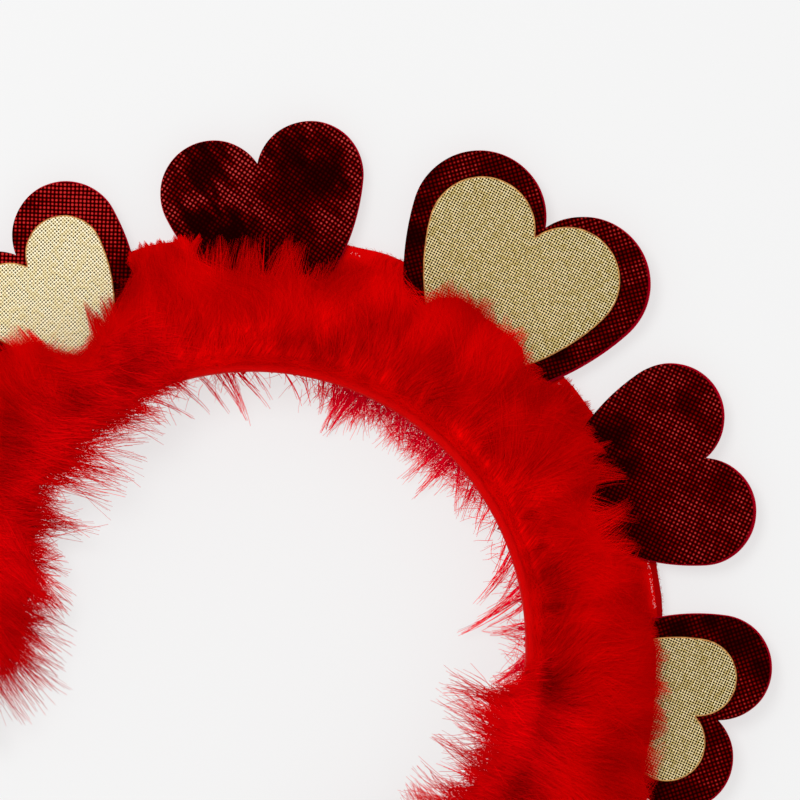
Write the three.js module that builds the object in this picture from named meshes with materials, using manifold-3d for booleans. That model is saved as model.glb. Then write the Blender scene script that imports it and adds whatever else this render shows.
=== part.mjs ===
// Heart headband: a satin-covered head band with a felt arch, five fabric hearts and two strips of fur.
// It lies on its back. +Y points to the crown, +Z to the front of the headband, and lengths are millimetres.
// Angles are degrees from the crown, positive towards +X, about the centre of the head band's arc.
import * as THREE from "three";
import { mergeVertices } from "three/addons/utils/BufferGeometryUtils.js";
import Module from "manifold-3d";

const wasm = await Module();
wasm.setup();

// Clearance between neighbouring pieces, and the wider one where a curved piece is cut by its neighbour.
const GAP = 0.2;
const CUT_GAP = 0.35;

// Head band: a thin strip whose width tapers to rounded tips below the ears.
const HEAD_RADIUS = 65;
const BAND = { thickness: 2.6, width: 20, tipWidth: 12, taperAngle: 40, tipAngle: 143, chamfer: 0.7 };
// The tips round off over their last degrees, at these shares of the way, down to a narrow flat end.
const BAND_TIP = { degrees: 6, shares: [0.4, 0.7, 0.9, 1], endShare: 0.1 };
const BAND_OUTSIDE = HEAD_RADIUS + BAND.thickness;

// Levels of the flat layers, from the surface that the headband lies on.
const FUR_BACK_THICKNESS = 2.2;
const FELT_THICKNESS = 1.8;
const HEART_FELT_THICKNESS = 1.3;
const HEART_CLOTH_THICKNESS = 1.0;
const FELT_LEVEL = FUR_BACK_THICKNESS + GAP;
const FELT_TOP = FELT_LEVEL + FELT_THICKNESS;
const HEART_LEVEL = FELT_TOP + GAP;
const RED_LEVEL = HEART_LEVEL + HEART_FELT_THICKNESS + GAP;
const GOLD_LEVEL = RED_LEVEL + HEART_CLOTH_THICKNESS + GAP;
const BAND_MIDDLE = FELT_LEVEL + BAND.width / 2;

// Felt arch behind the hearts: full height past the last hearts, then it narrows down to the fur's ends.
const FELT = { outside: 98.4, endOutside: 80, fullAngle: 74, endAngle: 130 };

// Both strips of fur end at this angle, short of the band's bare tips.
const FUR_END = 130;

// Heart outline as shares of its width: two lobe circles, and flanks that leave them and meet at the tip.
const HEART = { lobeOffset: 0.24, lobeRadius: 0.26, tipDepth: 0.7, flankAngle: 16, stepsPerArc: 10 };

// The felt under each heart stands out past the red cloth by a rim, and sits a little to one side.
const HEART_RIM = { margin: 0.6, shiftX: 0.2, shiftY: -0.1 };

// Hearts from left to right. Each row places the centre between the lobes. Lean turns the heart clockwise.
const HEARTS = [
  { name: "heart_1", angle: -65.0, radius: 103.8, lean: -79.5, width: 48.6 },
  { name: "heart_2", angle: -33.3, radius: 109.8, lean: -45.9, width: 48.4 },
  { name: "heart_3", angle: 0.7, radius: 114.9, lean: -1.8, width: 60.8 },
  { name: "heart_4", angle: 32.9, radius: 111.5, lean: 37.2, width: 48.9 },
  { name: "heart_5", angle: 64.2, radius: 107.5, lean: 78.9, width: 47.9 },
];

// Smaller gold hearts glued on three of the red ones.
const GOLD_HEARTS = [
  { name: "heart_1", angle: -64.8, radius: 101.3, lean: -75.5, width: 35.7 },
  { name: "heart_3", angle: 0.5, radius: 113.2, lean: -3.5, width: 48.9 },
  { name: "heart_5", angle: 64.2, radius: 103.5, lean: 81.4, width: 35.7 },
];

// Front fur: the outline of its pile across the strip, as radius and height, at the crown and at the ends.
const FUR_FRONT_SECTION = [
  { at: "foot by the band", crownRadius: 68.0, crownHeight: 4.4, endRadius: 68.0, endHeight: 4.4 },
  { at: "wall by the band", crownRadius: 68.0, crownHeight: 17.0, endRadius: 68.0, endHeight: 14.5 },
  { at: "inner shoulder", crownRadius: 70.0, crownHeight: 20.5, endRadius: 69.0, endHeight: 18.0 },
  { at: "crest", crownRadius: 75.0, crownHeight: 21.5, endRadius: 72.0, endHeight: 18.5 },
  { at: "outer shoulder", crownRadius: 82.0, crownHeight: 18.5, endRadius: 75.5, endHeight: 15.5 },
  { at: "slope", crownRadius: 88.0, crownHeight: 13.0, endRadius: 78.0, endHeight: 10.5 },
  { at: "outer edge", crownRadius: 92.0, crownHeight: 8.0, endRadius: 79.5, endHeight: 7.5 },
  { at: "outer foot", crownRadius: 91.5, crownHeight: 4.4, endRadius: 79.0, endHeight: 4.4 },
];
// From this angle to its end the pile narrows along with the felt.
const FUR_NARROWS_FROM = 84;

// The pile closes in towards this radius and height over its last few degrees.
const FUR_CLOSE = { radius: 73, height: 10, share: 0.55, degrees: 9 };

// Back fur: a flat strip under the felt and the band. Both edges run out in locks, from valley to tip.
const FUR_BACK = { innerTop: 64, outerTop: 78, edgeHeight: 0.9, locks: 46 };
const FUR_BACK_EDGES = [
  { edge: "inner", valley: 61.5, tip: 52, skew: 3.4 },
  { edge: "outer", valley: 80, tip: 86.5, skew: 2.6 },
];

// Rows of front locks: flat cones from root to tip between two angles. At is a radius, up is a height, and
// each tip is turned by up to skew.
const FRONT_LOCKS = [
  { rootAt: 69, rootUp: 19, tipAt: 84, tipUp: 26.0, width: 15, from: -127, to: 127, count: 30, skew: 6 },
  { rootAt: 75, rootUp: 18, tipAt: 93, tipUp: 20.5, width: 15, from: -107, to: 107, count: 28, skew: 5 },
  { rootAt: 82, rootUp: 12, tipAt: 99, tipUp: 10.5, width: 13, from: -97, to: 97, count: 31, skew: 4 },
  { rootAt: 71, rootUp: 12, tipAt: 87, tipUp: 13.0, width: 12, from: 99, to: 129, count: 5, skew: 5 },
  { rootAt: 71, rootUp: 12, tipAt: 87, tipUp: 13.0, width: 12, from: -129, to: -99, count: 5, skew: 5 },
];
// Longer locks run down the legs from both ends of the pile, from a little before its end.
const END_LOCKS = [
  { radius: 70.5, height: 17, length: 17, width: 10 },
  { radius: 73, height: 11, length: 15, width: 11 },
  { radius: 76, height: 7.5, length: 13, width: 10 },
];
const END_LOCK_SETBACK = 5;

// Along the legs the front fur spills over the band's edge into the arch. By angle down the leg, the radius
// that it hangs in to on the left and on the right.
const SPILL = [
  { angle: 62, left: 62.5, right: 63.5 },
  { angle: 70, left: 58.5, right: 61.5 },
  { angle: 88, left: 57.5, right: 61.5 },
  { angle: 104, left: 55.5, right: 59.5 },
  { angle: 118, left: 53.5, right: 57.0 },
  { angle: 129, left: 54.5, right: 57.0 },
];
// Its section, with heights above the band's front edge. The inner corners go to the radius of the table.
const SPILL_SECTION = {
  foot: { radius: 72.5, height: -7 },
  shoulder: { radius: 71, height: 0.6 },
  crest: { radius: 67, height: 1.9 },
  brow: { inward: 0.45, height: 0.9 },
  hem: { inward: 1, height: -6.5 },
  lining: { radius: 64, height: -9 },
};
// Its locks hang from the hem, lean further down the leg towards the end, and keep out of the head's room.
const SPILL_LOCKS = { count: 9, from: 65, to: 128, rootIn: 4, rootUp: -2, drop: -8, width: 10, length: 8 };
const SPILL_LEAN = { upper: 12, lower: 62, startAngle: 104, endAngle: 129 };
const HEAD_HALF_WIDTH = 38.2;

const LOCK_FLATNESS = 0.55;
const LOCK_SIDES = 5;
const LOCK_LENGTH_SPREAD = 0.3;

// Steps round the arch of each long solid.
const STEPS = { band: 54, felt: 52, pile: 50, spill: 12 };

// Shares of a turn, from the golden section, that spread lengths and leans evenly among neighbouring locks.
const GOLDEN = 0.618;
const LENGTH_STEP = GOLDEN;
const SKEW_STEP = 1 - GOLDEN;

const COLOURS = { satin: 0xc40306, felt: 0xa80408, fur: 0xb80204, red: 0x3a0508, gold: 0xb59a5e };

function material(color, roughness, metalness) {
  return new THREE.MeshStandardMaterial({ color, roughness, metalness });
}
const SATIN = material(COLOURS.satin, 0.4, 0);
const FELT_CLOTH = material(COLOURS.felt, 0.95, 0);
const FUR = material(COLOURS.fur, 0.85, 0);
const RED_CLOTH = material(COLOURS.red, 0.55, 0.2);
const GOLD_CLOTH = material(COLOURS.gold, 0.4, 0.6);

const { degToRad: turn, lerp } = THREE.MathUtils;

// A point of the arch from its angle, radius and height.
function polar(angle, radius, height) {
  return new THREE.Vector3(radius * Math.sin(turn(angle)), radius * Math.cos(turn(angle)), height);
}

// A number between -1 and 1 that spreads evenly as index counts up.
function spread(index, step) {
  return 2 * ((index * step) % 1) - 1;
}

// 0 before start, 1 after end, and a smooth climb between them.
function ease(value, start, end) {
  return THREE.MathUtils.smoothstep(value, start, end);
}

function solidOf(geometry) {
  const bare = geometry.clone();
  bare.deleteAttribute("normal");
  bare.deleteAttribute("uv");
  const merged = mergeVertices(bare, 1e-4);
  const vertProperties = new Float32Array(merged.attributes.position.array);
  const triVerts = new Uint32Array(merged.index.array);
  return new wasm.Manifold(new wasm.Mesh({ numProp: 3, vertProperties, triVerts }));
}

function geometryOf(solid) {
  const mesh = solid.getMesh();
  const geometry = new THREE.BufferGeometry();
  geometry.setAttribute("position", new THREE.BufferAttribute(mesh.vertProperties, 3));
  geometry.setIndex(new THREE.BufferAttribute(mesh.triVerts, 1));
  geometry.computeVertexNormals();
  return geometry;
}

// The largest body of a solid, so that crumbs left by a cut are dropped.
function largestBody(solid) {
  return solid.decompose().reduce((best, body) => (body.volume() > best.volume() ? body : best));
}

// A closed solid that follows the arch. For each angle, sectionAt gives the corners of the section there as
// [radius, height] or [radius, height, turn], where turn moves a corner along the arch.
function archSolid(angles, sectionAt) {
  const sections = angles.map((angle, station) => sectionAt(angle, station));
  const corners = sections[0].length;
  const positions = [];
  sections.forEach((section, i) =>
    section.forEach(([radius, height, shift = 0]) => {
      positions.push(...polar(angles[i] + shift, radius, height));
    }),
  );
  const faces = [];
  for (let i = 0; i + 1 < angles.length; i++) {
    for (let j = 0; j < corners; j++) {
      const here = i * corners + j;
      const beside = i * corners + ((j + 1) % corners);
      faces.push(here, here + corners, beside, beside, here + corners, beside + corners);
    }
  }
  const last = (angles.length - 1) * corners;
  for (let j = 1; j + 1 < corners; j++) {
    faces.push(0, j, j + 1, last, last + j + 1, last + j);
  }
  const geometry = new THREE.BufferGeometry();
  geometry.setAttribute("position", new THREE.Float32BufferAttribute(positions, 3));
  geometry.setIndex(faces);
  const solid = solidOf(geometry);
  if (solid.volume() > 0) return solid;
  return solidOf(geometry.setIndex(faces.reverse()));
}

// Angles from -end to end in even steps.
function evenAngles(end, steps) {
  return Array.from({ length: steps + 1 }, (_, i) => -end + (2 * end * i) / steps);
}

// Head band
function bandWidth(angle) {
  const off = Math.abs(angle);
  const taper = lerp(BAND.width, BAND.tipWidth, ease(off, BAND.taperAngle, BAND.tipAngle));
  const intoTip = Math.max(0, (off - BAND.tipAngle + BAND_TIP.degrees) / BAND_TIP.degrees);
  return taper * Math.sqrt(1 - (1 - BAND_TIP.endShare) * intoTip * intoTip);
}

function bandSection(angle, grow = 0) {
  const half = bandWidth(angle) / 2 + grow;
  const [inside, outside] = [HEAD_RADIUS - grow, BAND_OUTSIDE + grow];
  const [low, high] = [BAND_MIDDLE - half, BAND_MIDDLE + half];
  const c = BAND.chamfer;
  return [
    [inside, low + c],
    [inside, high - c],
    [inside + c, high],
    [outside - c, high],
    [outside, high - c],
    [outside, low + c],
    [outside - c, low],
    [inside + c, low],
  ];
}

function bandAngles() {
  const body = evenAngles(BAND.tipAngle - BAND_TIP.degrees, STEPS.band);
  const tip = BAND_TIP.shares.map((share) => BAND.tipAngle - BAND_TIP.degrees * (1 - share));
  return [...tip.map((angle) => -angle).reverse(), ...body, ...tip];
}

const bandSolid = archSolid(bandAngles(), (angle) => bandSection(angle));
const bandRoom = archSolid(bandAngles(), (angle) => bandSection(angle, CUT_GAP));

// Felt arch
function feltSolid() {
  const inside = BAND_OUTSIDE + GAP;
  return archSolid(evenAngles(FELT.endAngle, STEPS.felt), (angle) => {
    const narrowing = ease(Math.abs(angle), FELT.fullAngle, FELT.endAngle);
    const outside = lerp(FELT.outside, FELT.endOutside, narrowing);
    return [
      [inside, FELT_LEVEL],
      [outside, FELT_LEVEL],
      [outside, FELT_TOP],
      [inside, FELT_TOP],
    ];
  });
}

// Hearts
function heartShape(width) {
  const offset = HEART.lobeOffset * width;
  const lobe = HEART.lobeRadius * width;
  const tip = new THREE.Vector2(0, -HEART.tipDepth * width);
  const flank = turn(HEART.flankAngle);
  const notch = Math.acos(offset / lobe);
  // The flank is an arc that leaves the lobe circle smoothly and passes through the tip.
  const away = new THREE.Vector2(Math.cos(flank), -Math.sin(flank));
  const leave = away.clone().multiplyScalar(lobe).add(new THREE.Vector2(offset, 0));
  const chord = leave.clone().sub(tip);
  const flankRadius = chord.lengthSq() / (2 * chord.dot(away));
  const centre = leave.clone().addScaledVector(away, -flankRadius);
  const tipTurn = Math.atan2(tip.y - centre.y, tip.x - centre.x);
  const shape = new THREE.Shape();
  shape.absarc(-offset, 0, lobe, notch, Math.PI + flank, false);
  shape.absarc(-centre.x, centre.y, flankRadius, Math.PI + flank, Math.PI - tipTurn, false);
  shape.absarc(centre.x, centre.y, flankRadius, tipTurn, -flank, false);
  shape.absarc(offset, 0, lobe, -flank, Math.PI - notch, false);
  return shape;
}

function heartGeometry(width, thickness) {
  const options = { depth: thickness, bevelEnabled: false, curveSegments: HEART.stepsPerArc / 2 };
  return new THREE.ExtrudeGeometry(heartShape(width), options);
}

// Places a mesh at a heart's row of the table, with its back at a level, shifted in the heart's plane.
function placeHeart(mesh, row, level, shiftX = 0, shiftY = 0) {
  mesh.position.copy(polar(row.angle, row.radius, level)).add(new THREE.Vector3(shiftX, shiftY, 0));
  mesh.rotation.z = -turn(row.lean);
  return mesh;
}

function heartMesh(name, row, width, level, thickness, cloth) {
  const mesh = new THREE.Mesh(heartGeometry(width, thickness), cloth);
  mesh.name = name;
  return placeHeart(mesh, row, level);
}

function heartMeshes() {
  const felts = HEARTS.map((row) => {
    const width = row.width + HEART_RIM.margin;
    const felt = heartMesh(`${row.name}_felt`, row, width, HEART_LEVEL, HEART_FELT_THICKNESS, FELT_CLOTH);
    return placeHeart(felt, row, HEART_LEVEL, HEART_RIM.shiftX, HEART_RIM.shiftY);
  });
  const reds = HEARTS.map((row) =>
    heartMesh(`${row.name}_red`, row, row.width, RED_LEVEL, HEART_CLOTH_THICKNESS, RED_CLOTH),
  );
  const golds = GOLD_HEARTS.map((row) =>
    heartMesh(`${row.name}_gold`, row, row.width, GOLD_LEVEL, HEART_CLOTH_THICKNESS, GOLD_CLOTH),
  );
  return [...felts, ...reds, ...golds];
}

// The room that the hearts take in the front fur: each outline a little larger, down into the felt.
function heartRooms() {
  const room = (row, width, top) => {
    const depth = top - FELT_LEVEL + CUT_GAP;
    const mesh = placeHeart(new THREE.Mesh(heartGeometry(width, depth)), row, FELT_LEVEL);
    mesh.updateMatrix();
    return solidOf(mesh.geometry.applyMatrix4(mesh.matrix));
  };
  const redTop = RED_LEVEL + HEART_CLOTH_THICKNESS;
  const goldTop = GOLD_LEVEL + HEART_CLOTH_THICKNESS;
  const margin = HEART_RIM.margin + 2 * CUT_GAP + 2 * Math.abs(HEART_RIM.shiftX);
  return [
    ...HEARTS.map((row) => room(row, row.width + margin, redTop)),
    ...GOLD_HEARTS.map((row) => room(row, row.width + 2 * CUT_GAP, goldTop)),
  ];
}

// Fur
function lockSolid(root, tip, width) {
  const along = tip.clone().sub(root);
  const cone = new THREE.ConeGeometry(width / 2, along.length(), LOCK_SIDES);
  const flat = new THREE.Matrix4().makeScale(1, 1, LOCK_FLATNESS);
  const upright = new THREE.Quaternion().setFromUnitVectors(new THREE.Vector3(0, 1, 0), along.normalize());
  const middle = root.clone().add(tip).multiplyScalar(0.5);
  const place = new THREE.Matrix4().compose(middle, upright, new THREE.Vector3(1, 1, 1));
  return solidOf(cone.applyMatrix4(place.multiply(flat)));
}

// The locks of one row: even steps along the arch, with each tip's angle and length varied in turn.
function rowOfLocks(row) {
  return Array.from({ length: row.count }, (_, i) => {
    const angle = lerp(row.from, row.to, (i + 0.5) / row.count);
    const length = 1 + (LOCK_LENGTH_SPREAD * (spread(i, LENGTH_STEP) - 1)) / 2;
    const tipRadius = lerp(row.rootAt, row.tipAt, length);
    const tipHeight = lerp(row.rootUp, row.tipUp, length);
    const root = polar(angle, row.rootAt, row.rootUp);
    return lockSolid(root, polar(angle + row.skew * spread(i, SKEW_STEP), tipRadius, tipHeight), row.width);
  });
}

function endLocks({ radius, height, length, width }) {
  return [-1, 1].map((side) => {
    const root = polar(side * (FUR_END - END_LOCK_SETBACK), radius, height);
    const along = polar(side * (FUR_END + 90), 1, 0);
    return lockSolid(root, root.clone().addScaledVector(along, length), width);
  });
}

function furFrontSection(angle) {
  const off = Math.abs(angle);
  const narrowing = ease(off, FUR_NARROWS_FROM, FUR_END);
  const closing = FUR_CLOSE.share * ease(off, FUR_END - FUR_CLOSE.degrees, FUR_END);
  return FUR_FRONT_SECTION.map((row) => {
    const radius = lerp(row.crownRadius, row.endRadius, narrowing);
    const height = lerp(row.crownHeight, row.endHeight, narrowing);
    return [
      lerp(radius, FUR_CLOSE.radius, closing),
      lerp(height, FUR_CLOSE.height, closing),
    ];
  });
}

// The radius that the spill hangs in to at an angle down one leg.
function spillInside(angle, side) {
  const column = side < 0 ? "left" : "right";
  const next = Math.max(1, SPILL.findIndex((row) => row.angle >= angle));
  const [above, below] = [SPILL[next - 1], SPILL[next]];
  const share = (angle - above.angle) / (below.angle - above.angle);
  return lerp(above[column], below[column], share);
}

function bandTop(angle) {
  return BAND_MIDDLE + bandWidth(angle) / 2;
}

// The spill's section takes in the band's edge, whose room is cut out of it along with the rest of the fur.
function spillSolid(side) {
  const first = SPILL[0].angle;
  const last = SPILL[SPILL.length - 1].angle;
  const steps = STEPS.spill;
  const angles = Array.from({ length: steps + 1 }, (_, i) => side * lerp(first, last, i / steps));
  return archSolid(angles, (angle) => {
    const inside = spillInside(Math.abs(angle), side);
    return Object.values(SPILL_SECTION).map(({ radius, inward, height }) => [
      radius ?? lerp(HEAD_RADIUS, inside, inward),
      bandTop(angle) + height,
    ]);
  });
}

function spillLocks(side) {
  const { count, from, to, rootIn, rootUp, drop, width, length } = SPILL_LOCKS;
  return Array.from({ length: count }, (_, i) => {
    const angle = lerp(from, to, i / (count - 1));
    const inside = spillInside(angle, side);
    const downLeg = ease(angle, SPILL_LEAN.startAngle, SPILL_LEAN.endAngle);
    const lean = turn(lerp(SPILL_LEAN.upper, SPILL_LEAN.lower, downLeg));
    const reach = length * (1 + (LOCK_LENGTH_SPREAD * (spread(i, LENGTH_STEP) - 1)) / 2);
    const tipAngle = angle + THREE.MathUtils.radToDeg((reach * Math.sin(lean)) / inside);
    const clear = HEAD_HALF_WIDTH / Math.sin(turn(tipAngle));
    const tipRadius = Math.max(inside - reach * Math.cos(lean), clear);
    const root = polar(side * angle, inside + rootIn, bandTop(angle) + rootUp);
    return lockSolid(root, polar(side * tipAngle, tipRadius, bandTop(angle) + drop), width);
  });
}

function furFrontSolid(felt) {
  const pile = archSolid(evenAngles(FUR_END, STEPS.pile), furFrontSection);
  const locks = [...FRONT_LOCKS.flatMap(rowOfLocks), ...END_LOCKS.flatMap(endLocks)];
  const spills = [-1, 1].flatMap((side) => [spillSolid(side), ...spillLocks(side)]);
  const joined = [...locks, ...spills].reduce((fur, part) => fur.add(part), pile);
  const cut = [bandRoom, ...heartRooms()].reduce((fur, room) => fur.subtract(room), joined);
  return largestBody(cut.subtract(felt.translate([0, 0, GAP / 2])));
}

// Every second station of the back strip is the tip of a lock, and the stations between are valleys.
function furBackSolid() {
  const stations = 2 * FUR_BACK.locks;
  const [inner, outer] = FUR_BACK_EDGES.map((edge) => (station) => {
    if (station % 2 === 0) return [edge.valley, 0];
    const length = 1 + LOCK_LENGTH_SPREAD * (spread(station, LENGTH_STEP / 2) - 1);
    return [lerp(edge.valley, edge.tip, length), edge.skew * spread(station, SKEW_STEP / 2)];
  });
  return archSolid(evenAngles(FUR_END, stations), (angle, station) => {
    const [insideRadius, insideTurn] = inner(station);
    const [outsideRadius, outsideTurn] = outer(station);
    return [
      [insideRadius, 0, insideTurn],
      [insideRadius, FUR_BACK.edgeHeight, insideTurn],
      [FUR_BACK.innerTop, FUR_BACK_THICKNESS],
      [FUR_BACK.outerTop, FUR_BACK_THICKNESS],
      [outsideRadius, FUR_BACK.edgeHeight, outsideTurn],
      [outsideRadius, 0, outsideTurn],
    ];
  });
}

function solidMesh(name, solid, cloth) {
  const mesh = new THREE.Mesh(geometryOf(solid), cloth);
  mesh.name = name;
  return mesh;
}

const arch = new THREE.Group();
const felt = feltSolid();
arch.add(solidMesh("band", bandSolid, SATIN));
arch.add(solidMesh("felt_arch", felt, FELT_CLOTH));
arch.add(solidMesh("fur_front", furFrontSolid(felt), FUR));
arch.add(solidMesh("fur_back", furBackSolid(), FUR));
arch.add(...heartMeshes());

// The origin is the middle of the headband's box, on the surface that it lies on.
const box = new THREE.Box3().setFromObject(arch, true);
const middle = box.getCenter(new THREE.Vector3());
arch.position.set(-middle.x, -middle.y, -box.min.z);

const headband = new THREE.Group();
headband.add(arch);

export default headband;
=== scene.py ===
"""Heart headband: fur, felt, satin and woven hearts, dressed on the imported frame.

Sizes are millimetres, and angles are degrees from the crown, clockwise seen from the front.
Meshes are in metres.
"""

import logging
import math
from collections.abc import Sequence
from dataclasses import dataclass, field, replace
from enum import Enum

import bpy
import numpy as np
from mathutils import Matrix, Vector
from numpy.random import Generator as Draw
from numpy.random import default_rng


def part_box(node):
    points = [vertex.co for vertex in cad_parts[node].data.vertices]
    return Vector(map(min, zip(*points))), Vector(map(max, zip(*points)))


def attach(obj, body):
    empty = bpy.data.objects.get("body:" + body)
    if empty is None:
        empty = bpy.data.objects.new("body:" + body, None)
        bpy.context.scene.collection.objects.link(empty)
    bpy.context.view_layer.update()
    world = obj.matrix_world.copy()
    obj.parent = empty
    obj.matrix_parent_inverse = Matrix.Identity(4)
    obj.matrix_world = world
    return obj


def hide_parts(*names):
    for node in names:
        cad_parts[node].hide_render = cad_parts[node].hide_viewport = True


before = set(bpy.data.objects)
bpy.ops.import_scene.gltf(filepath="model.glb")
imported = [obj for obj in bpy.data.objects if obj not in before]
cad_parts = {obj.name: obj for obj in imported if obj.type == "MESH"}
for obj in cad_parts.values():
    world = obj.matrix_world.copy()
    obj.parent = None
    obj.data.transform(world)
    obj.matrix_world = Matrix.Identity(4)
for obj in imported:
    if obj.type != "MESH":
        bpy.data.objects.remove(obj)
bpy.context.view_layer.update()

LOG = logging.getLogger("headband")

MM = 0.001
BODY = "root"
BAKE_MAP = "OFBake"
UP = np.array([0.0, 0.0, 1.0])
TINY = 1e-12
# Random phases of waves lie between 0 and this, about a full turn.
ANY_PHASE = 6.3
# Most of a noise's values lie in this span.
NOISE_SPAN = (0.3, 0.7)
SMOOTH_STEP = {"interpolation_type": "SMOOTHSTEP"}
ON_PLANE = {"noise_dimensions": "2D"}

Array = np.ndarray
Numbers = Array | float
Span = tuple[float, float]
Colour = tuple[float, float, float]
Material = bpy.types.Material
Socket = bpy.types.NodeSocket


class Slot(Enum):
    """Material slots of the record."""

    SATIN = "satin"
    FELT = "felt"
    FUR = "fur"
    RED_WEAVE = "red_weave"
    GOLD_WEAVE = "gold_weave"


class Operation(Enum):
    """Math node operations that expressions use."""

    ADD = "ADD"
    SUBTRACT = "SUBTRACT"
    MULTIPLY = "MULTIPLY"
    DIVIDE = "DIVIDE"
    POWER = "POWER"
    COSINE = "COSINE"
    ABSOLUTE = "ABSOLUTE"
    FLOOR = "FLOOR"
    MAXIMUM = "MAXIMUM"


class Blend(Enum):
    """Ways to put two colours together."""

    MIX = "MIX"
    MULTIPLY = "MULTIPLY"


class Wire:
    """A value socket that takes part in Python expressions; each operator adds a Math node."""

    def __init__(self, shading: "Shading", socket: Socket) -> None:
        """Keep the socket and the material it belongs to."""
        self.shading = shading
        self.socket = socket

    def math(self, operation: Operation, *values: "Wire | float") -> "Wire":
        """Return the result of a Math node on these values."""
        settings = {"operation": operation.value}
        return self.shading.wire("ShaderNodeMath", settings, dict(enumerate(values)), "Value")

    def __add__(self, other: "Wire | float") -> "Wire":
        """Return self + other."""
        return self.math(Operation.ADD, self, other)

    __radd__ = __add__

    def __sub__(self, other: "Wire | float") -> "Wire":
        """Return self - other."""
        return self.math(Operation.SUBTRACT, self, other)

    def __rsub__(self, other: float) -> "Wire":
        """Return other - self."""
        return self.math(Operation.SUBTRACT, other, self)

    def __mul__(self, other: "Wire | float") -> "Wire":
        """Return self * other."""
        return self.math(Operation.MULTIPLY, self, other)

    __rmul__ = __mul__

    def __truediv__(self, other: "Wire | float") -> "Wire":
        """Return self / other."""
        return self.math(Operation.DIVIDE, self, other)

    def __rtruediv__(self, other: float) -> "Wire":
        """Return other / self."""
        return self.math(Operation.DIVIDE, other, self)

    def __pow__(self, other: "Wire | float") -> "Wire":
        """Return self to the power of other."""
        return self.math(Operation.POWER, self, other)

    def cosine(self) -> "Wire":
        """Return the cosine of an angle in radians."""
        return self.math(Operation.COSINE, self)

    def absolute(self) -> "Wire":
        """Return the value without its sign."""
        return self.math(Operation.ABSOLUTE, self)

    def floor(self) -> "Wire":
        """Return the whole number at or below the value."""
        return self.math(Operation.FLOOR, self)

    def larger(self, other: "Wire | float") -> "Wire":
        """Return the larger of the two values."""
        return self.math(Operation.MAXIMUM, self, other)

    def ridges(self) -> "Wire":
        """Return waves between 0 and 1, with a crest at each whole number."""
        return (self * (2 * math.pi)).cosine() * 0.5 + 0.5

    def ramp(self, low: float, high: float, start: float = 0.0, end: float = 1.0) -> "Wire":
        """Return a smooth climb from start at low to end at high."""
        sockets = {"Value": self, "From Min": low, "From Max": high, "To Min": start, "To Max": end}
        return self.shading.wire("ShaderNodeMapRange", SMOOTH_STEP, sockets, "Result")


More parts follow.
